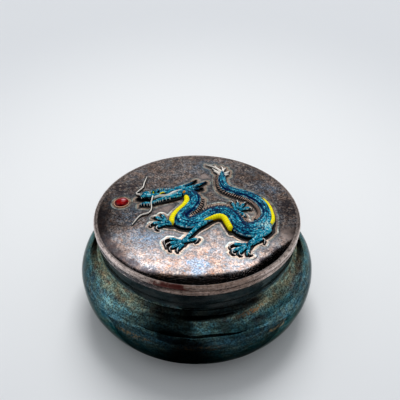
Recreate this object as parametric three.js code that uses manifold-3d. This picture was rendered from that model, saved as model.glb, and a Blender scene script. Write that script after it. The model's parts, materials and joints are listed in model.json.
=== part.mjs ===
// A round silver box with a lift-off lid, and on the lid a dragon in coloured enamel reaching for a
// red pearl. Millimetres, +Z up, origin on the table under the middle of the box. The dragon looks
// towards -X, and its claws point towards -Y, which is the front.
import * as THREE from 'three';
import { mergeVertices } from 'three/addons/utils/BufferGeometryUtils.js';
import Module from 'manifold-3d';

const wasm = await Module();
wasm.setup();

// ---- driving dimensions -------------------------------------------------------------------------
const FACETS = 48;              // facets round the bowl and the lid
const FINE_FACETS = 20;         // facets round small turned shapes
const WALL = 1.2;               // thickness of the raised silver sheet
const GAP = 0.3;                // clearance between pieces that touch

const BELLY_RADIUS = 42;        // widest part of the bowl
const BELLY_Z = 17.4;
const BASE_RADIUS = 25;         // outer edge of the flat ring it stands on
const BASE_RING = 2.4;          // width of that ring
const BASE_HOLLOW = 0.8;        // how far the middle of the base is set up
const FLOOR_Z = BASE_HOLLOW + WALL;
const LOWER_POWER = 2.135;      // 2 would be a true ellipse, more is squarer

const SHOULDER_RUN = 11.5;      // half-axes of the ellipse that rounds the shoulder
const SHOULDER_RISE = 11.1;
const SHOULDER_END = 62;        // degrees up the ellipse where the hollow under the neck begins
const NECK_RADIUS = 34.4;
const NECK_FOOT_Z = 28.6;       // the hollow's last point, just proud of the neck
const NECK_FOOT = 0.5;
const NECK_STEP_Z = 31.2;       // a fine step round the neck
const NECK_STEP = 0.35;
const NECK_TOP_Z = 35.3;        // the land that carries the lid

const COLLAR_RADIUS = 33.0;     // the collar inside the neck that centres the lid
const COLLAR_WALL = 1.1;
const COLLAR_TOP_Z = 37.6;

const LID_BOTTOM_Z = NECK_TOP_Z + GAP;
const BEAD_RADIUS = 35.95;      // lower of the two mouldings on the rim
const BEAD_Z = 36.9;
const BEAD_HALF = 1.15;
const ROLL_RADIUS = 36.35;      // upper, fuller moulding
const ROLL_Z = 39.35;
const ROLL_HALF = 1.15;
const DOME_RADIUS = 34.9;
const DOME_TOP_Z = 42.4;
const DOME_RISE = 2.3;

const PEARL = { x: -26.9, y: 6.1, radius: 2.7, height: 1.5 };

const silver = { color: 0x6b5f5e, metalness: 0.9, roughness: 0.45 };
const tarnish = { color: 0x24474c, metalness: 0.8, roughness: 0.45 };
const enamel = { color: 0x0f5f86, metalness: 0.1, roughness: 0.25 };
const redEnamel = { color: 0xa31518, metalness: 0.0, roughness: 0.15 };

// ---- turned shapes ------------------------------------------------------------------------------
// Height of the lid's outer face above the table, at a distance from the middle.
const domeZ = (radius) => DOME_TOP_Z - DOME_RISE * (radius / DOME_RADIUS) ** 2;

// Points along a quarter of a superellipse, from angle a to angle b in degrees (0 is outermost).
function arc(cx, cz, run, rise, a, b, steps, power = 2) {
  return Array.from({ length: steps + 1 }, (_, i) => {
    const t = THREE.MathUtils.degToRad(a + (b - a) * i / steps);
    const c = Math.max(Math.cos(t), 0) ** (2 / power);
    const s = Math.sign(Math.sin(t)) * Math.abs(Math.sin(t)) ** (2 / power);
    return [cx + run * c, cz + rise * s];
  });
}

// Closed solid turned round Z from [radius, z] points.
function turned(profile, facets = FACETS) {
  const points = profile.map(([r, z]) => new THREE.Vector2(r, z));
  const geometry = new THREE.LatheGeometry(points, facets);
  geometry.rotateX(Math.PI / 2);
  return toSolid(geometry);
}

// ---- solids and meshes --------------------------------------------------------------------------
function toSolid(geometry) {
  geometry.deleteAttribute('normal');
  geometry.deleteAttribute('uv');
  const merged = mergeVertices(geometry, 1e-4);
  const position = merged.attributes.position;
  const triangles = [];
  let volume = 0;
  const [a, b, c] = [new THREE.Vector3(), new THREE.Vector3(), new THREE.Vector3()];
  for (let i = 0; i < merged.index.count; i += 3) {
    const [p, q, r] = [0, 1, 2].map((k) => merged.index.getX(i + k));
    if (p === q || q === r || r === p) continue;
    triangles.push([p, q, r]);
    a.fromBufferAttribute(position, p);
    b.fromBufferAttribute(position, q);
    c.fromBufferAttribute(position, r);
    volume += a.dot(b.cross(c)) / 6;
  }
  const ordered = volume > 0 ? triangles : triangles.map(([p, q, r]) => [p, r, q]);
  return new wasm.Manifold(new wasm.Mesh({
    numProp: 3,
    vertProperties: new Float32Array(position.array),
    triVerts: new Uint32Array(ordered.flat()),
  }));
}

function toMesh(name, solid, look) {
  const { vertProperties, triVerts } = solid.getMesh();
  const geometry = new THREE.BufferGeometry();
  geometry.setAttribute('position', new THREE.BufferAttribute(vertProperties, 3));
  geometry.setIndex(new THREE.BufferAttribute(triVerts, 1));
  const mesh = new THREE.Mesh(geometry, new THREE.MeshStandardMaterial(look));
  mesh.name = name;
  return mesh;
}

// ---- the bowl -----------------------------------------------------------------------------------
function bowl() {
  const shoulderX = BELLY_RADIUS - SHOULDER_RUN;
  const baseRun = BELLY_RADIUS - BASE_RADIUS;
  const inner = NECK_RADIUS - WALL;
  return turned([
    [0, BASE_HOLLOW],
    [BASE_RADIUS - BASE_RING - BASE_HOLLOW, BASE_HOLLOW],
    [BASE_RADIUS - BASE_RING, 0],
    ...arc(BASE_RADIUS, BELLY_Z, baseRun, BELLY_Z, -90, 0, 5, LOWER_POWER),
    ...arc(shoulderX, BELLY_Z, SHOULDER_RUN, SHOULDER_RISE, 20, SHOULDER_END, 3),
    [NECK_RADIUS + NECK_FOOT, NECK_FOOT_Z],
    [NECK_RADIUS, NECK_STEP_Z - NECK_STEP],
    [NECK_RADIUS + NECK_STEP, NECK_STEP_Z],
    [NECK_RADIUS + NECK_STEP, NECK_TOP_Z],
    [COLLAR_RADIUS, NECK_TOP_Z],
    [COLLAR_RADIUS, COLLAR_TOP_Z],
    [COLLAR_RADIUS - COLLAR_WALL, COLLAR_TOP_Z],
    [COLLAR_RADIUS - COLLAR_WALL, NECK_TOP_Z - WALL],
    [inner, NECK_TOP_Z - 2 * WALL],
    [inner, NECK_FOOT_Z - WALL / 2],
    ...arc(shoulderX, BELLY_Z, SHOULDER_RUN - WALL, SHOULDER_RISE - WALL, SHOULDER_END - 4, 0, 2),
    ...arc(BASE_RADIUS, BELLY_Z, baseRun - WALL, BELLY_Z - FLOOR_Z, -22.5, -90, 3, LOWER_POWER),
    [0, FLOOR_Z],
  ]);
}

// ---- the lid ------------------------------------------------------------------------------------
const DOME_RINGS = [0, 10, 20, 28.5, DOME_RADIUS];

function lid() {
  const innerRadius = COLLAR_RADIUS + GAP;
  const dome = (radius, sunk) => [radius, domeZ(radius) - sunk];
  return turned([
    ...DOME_RINGS.map((radius) => dome(radius, 0)),
    ...arc(ROLL_RADIUS - ROLL_HALF, ROLL_Z, ROLL_HALF, ROLL_HALF, 70, -50, 4),
    ...arc(BEAD_RADIUS - BEAD_HALF, BEAD_Z, BEAD_HALF, BEAD_HALF, 45, -60, 3),
    [BEAD_RADIUS - BEAD_HALF, LID_BOTTOM_Z],
    [innerRadius, LID_BOTTOM_Z],
    [innerRadius, COLLAR_TOP_Z + GAP],
    dome(innerRadius - WALL, WALL),
    dome(innerRadius / 2, WALL),
    dome(0, WALL),
  ]);
}

// ---- the relief ---------------------------------------------------------------------------------
// A stroke is a bar with a half-round back that lies along the dome. Each of its points is
// [x, y, width, height above the dome]; the line between them is a smooth curve.
const SUNK = 1.2;               // how far a stroke reaches below the dome before it is trimmed

function stroke(points, steps = 4, sides = 8, ridge = 0) {
  const line = new THREE.CatmullRomCurve3(points.map(([x, y]) => new THREE.Vector3(x, y, 0)));
  const size = new THREE.CatmullRomCurve3(points.map(([, , w, h]) => new THREE.Vector3(w, h, 0)));
  const count = Math.max(1, Math.round((points.length - 1) * steps));
  const rings = count + 1;
  const position = [];
  for (let i = 0; i < rings; i++) {
    const at = line.getPoint(i / count);
    const along = line.getTangent(i / count);
    const { x: width, y: height } = size.getPoint(i / count);
    const raised = height * (1 + (i % 2 ? -ridge : ridge));
    for (let k = 0; k < sides; k++) {
      const turn = 2 * Math.PI * (k + 0.5) / sides;
      const across = width / 2 * Math.cos(turn);
      const x = at.x - along.y * across;
      const y = at.y + along.x * across;
      const up = Math.sin(turn) > 0 ? raised * Math.sin(turn) : SUNK * Math.sin(turn);
      position.push(x, y, domeZ(Math.hypot(x, y)) + up);
    }
  }
  const index = [];
  for (let i = 0; i < count; i++) {
    for (let k = 0; k < sides; k++) {
      const next = (k + 1) % sides;
      const [p, q, r, s] = [i * sides + k, i * sides + next, (i + 1) * sides + next, (i + 1) * sides + k];
      index.push(p, q, r, p, r, s);
    }
  }
  for (let k = 1; k < sides - 1; k++) {
    index.push(0, k + 1, k);
    index.push(count * sides, count * sides + k, count * sides + k + 1);
  }
  const geometry = new THREE.BufferGeometry();
  geometry.setAttribute('position', new THREE.BufferAttribute(new Float32Array(position), 3));
  geometry.setIndex(index);
  return toSolid(geometry);
}

// The body, from behind the jaw to the root of the tail's tuft.
const BODY = [
  [-5.2, 10.4, 4.0, 1.4], [-1.9, 8.4, 4.7, 1.5], [-1.0, 4.8, 5.0, 1.5], [-2.5, 1.0, 5.4, 1.5],
  [-5.2, -2.6, 6.2, 1.6], [-5.4, -6.0, 6.8, 1.7], [-2.2, -7.2, 6.4, 1.6], [2.2, -4.9, 6.2, 1.6],
  [5.8, -1.8, 6.0, 1.6], [9.4, -1.1, 5.8, 1.6], [12.2, -3.8, 6.0, 1.6], [13.8, -8.0, 6.6, 1.7],
  [17.0, -10.5, 7.8, 2.0], [21.0, -9.3, 7.6, 2.0], [24.0, -5.2, 6.0, 1.8], [24.6, -0.8, 5.0, 1.6],
  [23.2, 4.2, 4.8, 1.5], [19.4, 8.2, 4.6, 1.5], [14.4, 10.4, 4.2, 1.4], [10.7, 12.6, 3.9, 1.3],
  [9.3, 16.3, 3.2, 1.2], [9.3, 20.6, 2.6, 1.0], [9.4, 24.4, 1.2, 0.7],
];

// Yellow belly plates, in three strips where the underside shows.
const BELLY = [
  [[-4.2, 8.2, 1.0, 1.2], [-3.7, 5.2, 1.8, 1.4], [-4.9, 1.8, 1.9, 1.4], [-7.4, -1.6, 1.9, 1.5],
    [-8.8, -5.0, 1.9, 1.5], [-8.2, -8.4, 1.0, 1.2]],
  [[2.6, -6.8, 0.8, 1.2], [5.4, -5.0, 1.6, 1.4], [8.4, -4.0, 1.7, 1.4], [10.2, -6.4, 1.8, 1.5],
    [11.2, -10.6, 1.4, 1.4]],
  [[23.8, 7.2, 0.7, 1.0], [25.6, 3.8, 1.4, 1.3], [26.4, -0.8, 1.5, 1.3], [25.2, -6.2, 0.8, 1.3]],
];

// Head, in profile with open jaws: skull to nose, lower jaw, cheek, brow, crown, horns and ears.
const HEAD = [
  [[-4.2, 10.8, 5.2, 1.6], [-8.2, 10.5, 6.0, 1.8], [-12.2, 9.6, 5.0, 1.8], [-16.2, 8.7, 3.2, 1.6],
    [-18.6, 8.8, 3.4, 1.6], [-20.8, 8.4, 1.6, 1.2]],
  [[-6.6, 8.2, 2.4, 1.5], [-12.0, 6.5, 2.4, 1.5], [-16.4, 4.8, 2.0, 1.4], [-20.2, 4.3, 1.5, 1.2]],
  [[-4.8, 9.6, 2.6, 1.9], [-8.4, 9.2, 3.0, 2.1], [-12.6, 8.4, 1.2, 1.8]],
  [[-11.0, 10.8, 1.2, 2.2], [-12.8, 10.8, 1.5, 2.3], [-14.8, 11.2, 1.0, 1.8], [-15.2, 12.6, 0.4, 0.9]],
  [[-5.6, 12.2, 2.4, 1.8], [-8.6, 12.4, 2.4, 1.8], [-12.0, 12.2, 1.2, 1.3], [-14.0, 12.6, 0.4, 0.7]],
  [[-7.4, 12.2, 2.0, 1.8], [-4.4, 13.8, 1.7, 1.6], [-0.3, 18.2, 0.5, 0.9]],
  [[-5.0, 11.6, 2.2, 1.7], [-1.4, 13.2, 1.6, 1.5], [3.5, 16.8, 0.5, 0.8]],
  [[-4.0, 11.0, 2.0, 1.6], [-1.0, 11.8, 1.5, 1.3], [2.5, 12.8, 0.5, 0.7]],
];

// Legs: shoulder or hip, knee, wrist.
const LEGS = [
  [[2.4, -6.6, 3.0, 1.9], [-0.4, -9.8, 2.0, 1.6], [-2.8, -13.0, 1.9, 1.3], [-4.4, -16.0, 2.4, 1.2]],
  [[23.0, -8.4, 4.4, 2.1], [21.6, -11.4, 2.6, 1.7], [19.2, -14.4, 2.0, 1.4], [17.2, -17.0, 2.4, 1.2]],
  [[-8.6, -7.8, 2.4, 1.3], [-11.0, -6.6, 2.6, 1.2]],
  [[12.6, -0.8, 2.6, 1.5], [14.4, 0.8, 2.4, 1.2]],
];

// Toes, each from the palm to where the claw starts, then to the tip of the claw.
const TOES = [
  [[-4.8, -16.0], [-8.4, -15.6], [-11.0, -18.0]], [[-4.8, -16.4], [-8.9, -17.4], [-10.6, -20.0]],
  [[-4.6, -16.8], [-7.6, -18.9], [-8.5, -21.2]], [[-4.2, -17.0], [-5.6, -19.4], [-6.3, -21.2]],
  [[-4.2, -15.8], [-0.8, -15.3], [-0.9, -17.8]],
  [[16.8, -16.9], [12.8, -17.3], [11.0, -20.0]], [[16.8, -17.5], [12.8, -19.8], [12.2, -22.2]],
  [[17.0, -17.7], [14.8, -20.8], [14.6, -22.9]], [[17.4, -17.7], [17.0, -20.6], [18.0, -22.5]],
  [[18.6, -16.3], [22.0, -14.5], [23.1, -17.1]],
  [[-10.6, -6.2], [-11.8, -3.6], [-12.6, -2.2]], [[-10.8, -6.4], [-14.0, -4.6], [-16.0, -5.0]],
  [[-10.8, -6.8], [-14.8, -7.2], [-16.6, -9.2]], [[-10.6, -7.2], [-13.2, -9.3], [-14.8, -11.3]],
  [[14.2, 1.0], [12.4, 3.4], [11.4, 5.0]], [[14.4, 1.2], [14.2, 4.4], [13.8, 6.2]],
  [[14.6, 1.0], [16.8, 3.8], [18.2, 4.6]], [[14.8, 0.4], [17.6, 1.4], [19.2, 1.0]],
];
const TOE = { width: 1.7, height: 1.0, clawHeight: 0.7, tip: 0.25 };

// Fine silver wires: two whiskers and the strands of the tail's tuft.
const WHISKERS = [
  [[-19.8, 9.0, 0.7, 1.5], [-21.3, 11.4, 0.5, 0.6], [-19.8, 13.8, 0.5, 0.6], [-19.4, 18.0, 0.45, 0.6],
    [-18.4, 21.2, 0.3, 0.5]],
  [[-15.8, 8.6, 0.6, 2.0], [-16.2, 5.8, 0.6, 1.8], [-16.2, 0.8, 0.5, 0.6], [-18.4, -1.6, 0.5, 0.6],
    [-21.0, -4.4, 0.45, 0.6], [-22.4, -6.7, 0.3, 0.5]],
];
const TUFT = [
  [[9.3, 23.4], [3.9, 28.4]], [[9.2, 22.4], [5.8, 25.6]], [[8.9, 20.6], [6.6, 23.4]],
  [[9.4, 23.8], [7.0, 28.0]], [[9.5, 23.6], [8.9, 27.8]], [[9.6, 22.8], [10.8, 26.8]],
  [[9.6, 21.6], [11.8, 24.6]], [[9.6, 19.8], [12.0, 23.0]],
];
const STRAND = { width: 0.9, height: 0.8 };

// Spines stand along the back, which is on the left of the travel from neck to tail tip or on its
// right, in stretches given as [start, end, side] in shares of the body's length.
const SPINE_STRETCHES = [[0.06, 0.26, 1], [0.32, 0.46, 1], [0.60, 0.97, 1]];
const SPINE = { pitch: 0.018, root: 0.8, reach: 1.1, width: 1.1, height: 1.2, tip: 0.2 };

function spines() {
  const line = new THREE.CatmullRomCurve3(BODY.map(([x, y]) => new THREE.Vector3(x, y, 0)));
  const width = new THREE.CatmullRomCurve3(BODY.map(([, , w]) => new THREE.Vector3(w, 0, 0)));
  const solids = [];
  for (const [start, end, side] of SPINE_STRETCHES) {
    for (let t = start; t < end; t += SPINE.pitch) {
      const at = line.getPoint(t);
      const along = line.getTangent(t);
      const edge = width.getPoint(t).x / 2;
      const point = (out, back) => [
        at.x - along.y * side * out + along.x * back,
        at.y + along.x * side * out + along.y * back,
      ];
      solids.push(stroke([
        [...point(edge - SPINE.root, 0), SPINE.width, SPINE.height],
        [...point(edge + SPINE.reach, SPINE.width / 2), SPINE.tip, SPINE.height / 2],
      ], 1, 4));
    }
  }
  return solids;
}

function toe([palm, joint, tip]) {
  const { width, height, clawHeight, tip: point } = TOE;
  return stroke([
    [...palm, width, height], [...joint, width * 0.8, height], [...tip, point, clawHeight / 2],
  ], 1.5, 5);
}

function strand([root, tip]) {
  const middle = [(root[0] + tip[0]) / 2, (root[1] + tip[1]) / 2];
  const { width, height } = STRAND;
  return stroke([
    [...root, width, height], [...middle, width * 0.8, height * 0.8], [...tip, width / 3, height / 2],
  ], 1, 4);
}

function dragon() {
  const strokes = [
    stroke(BODY, 3, 8),
    ...BELLY.map((points) => stroke(points, 4, 5, 0.08)),
    ...HEAD.map((points) => stroke(points, 2, 7)),
    ...LEGS.map((points) => stroke(points, 2, 6)),
    ...TOES.map(toe),
    ...WHISKERS.map((points) => stroke(points, 3, 4)),
    ...TUFT.map(strand),
    ...spines(),
  ];
  const figure = strokes.reduce((whole, next) => whole.add(next));
  return figure.subtract(underDome());
}

// Everything below the lid's top face, and the clearance over it.
function underDome() {
  const rim = BELLY_RADIUS;
  return turned([
    [0, LID_BOTTOM_Z], [rim, LID_BOTTOM_Z], [rim, domeZ(rim) + GAP],
    ...DOME_RINGS.slice().reverse().map((radius) => [radius, domeZ(radius) + GAP]),
  ], FINE_FACETS);
}

// A low dome of enamel, sloping with the lid.
function pearl() {
  const { x, y, radius, height } = PEARL;
  const base = domeZ(Math.hypot(x, y));
  const solid = turned([
    [0, -SUNK], [radius, -SUNK], [radius, 0],
    ...arc(0, 0, radius, height, 20, 90, 3),
  ], FINE_FACETS);
  return solid.translate([x, y, base]).subtract(underDome());
}

const group = new THREE.Group();
group.add(toMesh('box_body', bowl(), tarnish));
group.add(toMesh('lid', lid(), silver));
group.add(toMesh('dragon', dragon(), enamel));
group.add(toMesh('red_pearl', pearl(), redEnamel));

export default group;
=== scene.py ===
# %% [markdown]
# # A silver box with an enamelled dragon
# The object is a squat round box of raised silver, 84 mm across. Its domed lid lifts off and carries
# a dragon in relief, covered with blue and yellow enamel, that reaches for a red pearl. The solids of
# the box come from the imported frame; every visible surface is made again here, finer, in the same
# place. Lengths in the helpers are in millimetres and are turned into metres when a mesh is made.

# %% Load the frame
import json
import math

import bpy
import mathutils
import numpy as np
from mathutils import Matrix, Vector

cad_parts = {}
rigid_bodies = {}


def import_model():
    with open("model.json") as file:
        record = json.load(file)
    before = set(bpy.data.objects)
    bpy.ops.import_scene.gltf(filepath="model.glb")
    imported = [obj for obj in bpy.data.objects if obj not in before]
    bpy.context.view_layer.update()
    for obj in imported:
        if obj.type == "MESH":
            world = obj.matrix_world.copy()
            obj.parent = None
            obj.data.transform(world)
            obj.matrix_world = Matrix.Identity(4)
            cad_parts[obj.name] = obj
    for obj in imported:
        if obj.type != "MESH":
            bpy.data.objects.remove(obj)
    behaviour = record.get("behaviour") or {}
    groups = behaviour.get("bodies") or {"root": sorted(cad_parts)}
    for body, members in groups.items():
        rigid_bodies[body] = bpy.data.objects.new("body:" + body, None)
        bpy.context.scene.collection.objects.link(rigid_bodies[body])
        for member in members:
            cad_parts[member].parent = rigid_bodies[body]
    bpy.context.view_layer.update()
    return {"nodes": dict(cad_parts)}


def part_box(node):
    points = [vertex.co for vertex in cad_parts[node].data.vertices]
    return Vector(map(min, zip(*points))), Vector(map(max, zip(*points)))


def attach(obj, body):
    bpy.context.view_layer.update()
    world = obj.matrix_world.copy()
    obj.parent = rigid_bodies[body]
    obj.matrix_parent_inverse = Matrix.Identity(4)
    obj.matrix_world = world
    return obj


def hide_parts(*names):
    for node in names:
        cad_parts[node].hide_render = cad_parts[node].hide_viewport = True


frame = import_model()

print("nodes:", sorted(frame["nodes"]))

# %% [markdown]
# ## Driving sizes
# A maker would measure the finished box and work from that. The boxes of the frame's nodes give the
# belly, the collar, the rim and the top of the dome. What the boxes don't give, such as the shape of
# the shoulder, is kept here as a few named lengths in millimetres.

# %% Driving sizes
MM = 0.001

_, body_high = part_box("box_body")
lid_low, lid_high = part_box("lid")

BELLY_RADIUS = body_high.x / MM
COLLAR_TOP_Z = body_high.z / MM
LID_BOTTOM_Z = lid_low.z / MM
DOME_TOP_Z = lid_high.z / MM
RIM_RADIUS = lid_high.x / MM

GAP = 0.3
WALL = 1.2
BELLY_Z = 17.4
BASE_RADIUS = 25.0
BASE_RING = 2.4
BASE_HOLLOW = 0.8
FLOOR_Z = BASE_HOLLOW + WALL
LOWER_POWER = 2.135
SHOULDER_RUN = 11.5
SHOULDER_RISE = 11.1
SHOULDER_END = 62
NECK_RADIUS = 34.4
NECK_TOP_Z = LID_BOTTOM_Z - GAP
NECK_STEP_Z = 31.2
NECK_STEP = 0.35
COLLAR_RADIUS = 33.0
COLLAR_WALL = 1.1
DOME_RADIUS = 34.9
DOME_RISE = 2.3
print(f"belly {BELLY_RADIUS:.1f} mm, rim {RIM_RADIUS:.2f} mm, dome top {DOME_TOP_Z:.1f} mm")

# %% [markdown]
# ## Surfaces from grids
# Each piece is made of surfaces on a grid: rows along one direction, columns along the other. The
# points are worked out as whole arrays, and one helper turns the grid's indices into faces. A vertex
# also carries marks, plain numbers such as how far it lies across a limb, which the finishes read.

# %% Grid helpers
def grid_quads(rows, columns, around):
    """Quads of a grid whose point (r, c) has index r * columns + c. With around, the last column
    joins the first, as on a tube."""
    r, c = np.meshgrid(np.arange(rows - 1), np.arange(columns if around else columns - 1), indexing="ij")
    nxt = (c + 1) % columns
    corners = [r * columns + c, r * columns + nxt, (r + 1) * columns + nxt, (r + 1) * columns + c]
    return np.stack(corners, axis=-1).reshape(-1, 4)


def join(surfaces):
    """One surface out of several: points and faces are stacked, and face indices moved along."""
    points, quads, triangles, marks = [], [], [], {}
    offset = 0
    for s in surfaces:
        points.append(s["points"])
        quads.append(s["quads"] + offset)
        triangles.append(s["triangles"] + offset)
        for key, values in s["marks"].items():
            marks.setdefault(key, []).append(values)
        offset += len(s["points"])
    return {
        "points": np.concatenate(points),
        "quads": np.concatenate(quads),
        "triangles": np.concatenate(triangles),
        "marks": {key: np.concatenate(values) for key, values in marks.items()},
    }


def outward(surface):
    """The surface with its faces turned round where they point inwards, which shows in the sum of the
    tetrahedra from the origin to each face: it is negative then."""
    points, quads, triangles = surface["points"], surface["quads"], surface["triangles"]
    t = np.concatenate([quads[:, [0, 1, 2]], quads[:, [0, 2, 3]], triangles])
    a, b, c = points[t[:, 0]], points[t[:, 1]], points[t[:, 2]]
    if np.einsum("ij,ij->i", a, np.cross(b, c)).sum() < 0:
        surface["quads"] = quads[:, ::-1]
        surface["triangles"] = triangles[:, ::-1]
    return surface


def tube(body, rings, sides, ends, marks):
    """A closed tube from rings of points, with a fan at either end to a point of its own. The end
    points take the marks of the first and of the last ring."""
    k = np.arange(sides)
    nxt = (k + 1) % sides
    last = (rings - 1) * sides
    first_fan = np.column_stack([np.full(sides, len(body)), nxt, k])
    last_fan = np.column_stack([np.full(sides, len(body) + 1), last + k, last + nxt])
    return outward({
        "points": np.concatenate([body, ends]),
        "quads": grid_quads(rings, sides, True),
        "triangles": np.concatenate([first_fan, last_fan]),
        "marks": {key: np.concatenate([v, v[[0, last]]]) for key, v in marks.items()},
    })


def in_scene(name, data):
    """A new object around the mesh, lens or lamp, linked into the scene."""
    made = bpy.data.objects.new(name, data)
    bpy.context.scene.collection.objects.link(made)
    return made


def make_piece(name, surface, material, sharp=40):
    """A Blender object from a surface in millimetres. Edges bent by more than sharp degrees stay
    crisp."""
    quads, triangles = surface["quads"], surface["triangles"]
    mesh = bpy.data.meshes.new(name)
    corners = np.concatenate([quads.ravel(), triangles.ravel()]).astype(np.int32)
    starts = np.concatenate([np.arange(len(quads)) * 4, len(quads) * 4 + np.arange(len(triangles)) * 3])
    mesh.vertices.add(len(surface["points"]))
    mesh.vertices.foreach_set("co", (surface["points"] * MM).astype(np.float32).ravel())
    mesh.loops.add(len(corners))
    mesh.loops.foreach_set("vertex_index", corners)
    mesh.polygons.add(len(starts))
    mesh.polygons.foreach_set("loop_start", starts.astype(np.int32))
    mesh.update(calc_edges=True)
    mesh.validate()
    for key, values in surface["marks"].items():
        attribute = mesh.attributes.new(key, "FLOAT", "POINT")
        attribute.data.foreach_set("value", values.astype(np.float32))
    mesh.shade_smooth()
    mesh.set_sharp_from_angle(angle=math.radians(sharp))
    mesh.materials.append(material)
    piece = in_scene(name, mesh)
    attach(piece, "root")
    print(f"{name}: {len(quads) * 2 + len(triangles)} triangles")
    return piece


# %% [markdown]
# ## Turned work
# The bowl and the lid were raised from a disc of sheet and trued on a lathe, so both are a profile
# turned round the upright axis. The profile is walked from the middle of the outside to the middle of
# the inside, which closes the solid at both poles.

# %% Lathe
def arc(cx, cz, run, rise, start, end, steps, power=2.0):
    """Points on a superellipse about (cx, cz): radius grows with cos(t)^(2/power) and height with
    sin(t)^(2/power), from the start angle to the end angle in degrees."""
    t = np.radians(np.linspace(start, end, steps + 1))
    c = np.clip(np.cos(t), 0, None) ** (2 / power)
    s = np.sign(np.sin(t)) * np.abs(np.sin(t)) ** (2 / power)
    return np.column_stack([cx + run * c, cz + rise * s])


def refine(profile, step):
    """The profile with straight stretches cut so that no edge is longer than step."""
    out = [profile[:1]]
    for a, b in zip(profile[:-1], profile[1:]):
        count = max(1, int(np.ceil(np.linalg.norm(b - a) / step)))
        share = np.arange(1, count + 1)[:, None] / count
        out.append(a + (b - a) * share)
    return np.concatenate(out)


def turned(profile, segments):
    """Solid of revolution: point (i, k) is the profile's point i turned by k equal steps. The first
    and last points lie on the axis and become poles."""
    body = profile[1:-1]
    angle = 2 * np.pi * np.arange(segments) / segments
    x = body[:, :1] * np.cos(angle)
    y = body[:, :1] * np.sin(angle)
    z = np.repeat(body[:, 1:], segments, axis=1)
    points = np.stack([x, y, z], axis=-1).reshape(-1, 3)
    poles = np.array([[0, 0, profile[0, 1]], [0, 0, profile[-1, 1]]])
    return tube(points, len(body), segments, poles, {})


def dome_z(radius):
    """Height of the lid's outer face: a shallow paraboloid, lower by the square of the radius."""
    return DOME_TOP_Z - DOME_RISE * (radius / DOME_RADIUS) ** 2


# %% [markdown]
# ## The camera
# A small object on a table is seen from arm's length through a short telephoto lens, looking down.
# The camera stands in front of the box, on the line that rises 45 degrees from the middle of
# its base, and is aimed a little above that point, which places the box in the lower half.

# %% Camera
CAMERA_DISTANCE = 343.2
CAMERA_ELEVATION = 44.90
AIM_ABOVE = 6.161
AIM_RIGHT = 0.229
CAMERA_ROLL = 0.38
FOCAL_LENGTH = 81.0
SENSOR_WIDTH = 36.0

lens = bpy.data.cameras.new("camera")
lens.lens = FOCAL_LENGTH
lens.sensor_width = SENSOR_WIDTH
lens.clip_start = 0.01
camera = in_scene("camera", lens)
elevation = math.radians(CAMERA_ELEVATION)
camera.location = (
    0,
    -CAMERA_DISTANCE * MM * math.cos(elevation),
    CAMERA_DISTANCE * MM * math.sin(elevation),
)
aim = mathutils.Euler((math.radians(90 - CAMERA_ELEVATION + AIM_ABOVE), 0, math.radians(-AIM_RIGHT)))
roll = mathutils.Matrix.Rotation(math.radians(CAMERA_ROLL), 3, "Z")
camera.rotation_euler = (aim.to_matrix() @ roll).to_euler()
bpy.context.scene.camera = camera
print("camera at", [round(v, 4) for v in camera.location])

# %% [markdown]
# ## Shader maths as expressions
# A finish is a formula: brown where a noise is high, darker where the recess mark is small. One small
# class wraps a node socket so that such a formula can be written with plain operators, and each
# operator adds one Math node. Any other node comes from the `node` function.

# %% Shader helper
def maths(operation, swapped=False):
    """A method for the class below that adds one Math node; swapped puts the wire itself last."""
    def method(wire, *others):
        values = (*others, wire) if swapped else (wire, *others)
        return node(wire.tree, "ShaderNodeMath", {"operation": operation}, *values)
    return method


class Wire:
    """A value that runs through the node tree. Operators on it add Math nodes. y.angle(x) is the
    angle of the direction (x, y), and above is 1 where the wire is the greater of the two."""

    def __init__(self, tree, socket):
        self.tree = tree
        self.socket = socket

    __add__ = __radd__ = maths("ADD")
    __sub__ = maths("SUBTRACT")
    __rsub__ = maths("SUBTRACT", swapped=True)
    __mul__ = __rmul__ = maths("MULTIPLY")
    __truediv__ = maths("DIVIDE")
    __pow__ = maths("POWER")
    abs = maths("ABSOLUTE")
    max = maths("MAXIMUM")
    above = maths("GREATER_THAN")
    arcsine = maths("ARCSINE")
    angle = maths("ARCTAN2")

    def step(self, low, high):
        """0 below low, 1 above high, and a smooth S between; low may be the larger of the two."""
        if low > high:
            return 1 - self.step(high, low)
        settings = {"interpolation_type": "SMOOTHSTEP", "data_type": "FLOAT"}
        return node(self.tree, "ShaderNodeMapRange", settings, Value=self,
                    From_Min=low, From_Max=high, To_Min=0.0, To_Max=1.0)


def fill(tree, socket, value):
    """Links a wire to the socket, or sets its number, vector or colour."""
    if isinstance(value, Wire):
        tree.links.new(value.socket, socket)
    elif socket.type == "RGBA":
        socket.default_value = (*value, 1.0)
    else:
        socket.default_value = value


def node(tree, kind, settings=None, *values, out=0, **named):
    """Adds a node, sets its settings, then fills its sockets: values in order, with None for a socket
    that is left alone, and named ones by name, with underscores for spaces. Returns the wire of its
    output number out."""
    made = tree.nodes.new(kind)
    for key, value in (settings or {}).items():
        setattr(made, key, value)
    for socket, value in zip(made.inputs, values):
        if value is not None:
            fill(tree, socket, value)
    for key, value in named.items():
        fill(tree, made.inputs[key.replace("_", " ")], value)
    return Wire(tree, made.outputs[out])


def mix(share, first, second):
    """First colour at share 0, second at share 1. A Mix node has its share in socket 0 and its two
    colours in sockets 6 and 7."""
    tree = next(w.tree for w in (share, first, second) if isinstance(w, Wire))
    settings = {"data_type": "RGBA", "clamp_factor": True}
    return node(tree, "ShaderNodeMix", settings, share, *[None] * 5, first, second, out=2)


def layers(colour, *rows):
    """The colour with others laid over it in turn. A row is (share, other): how much of the other
    colour lies there, from 0 to 1, and that colour."""
    for share, other in rows:
        colour = mix(share, colour, other)
    return colour


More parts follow.
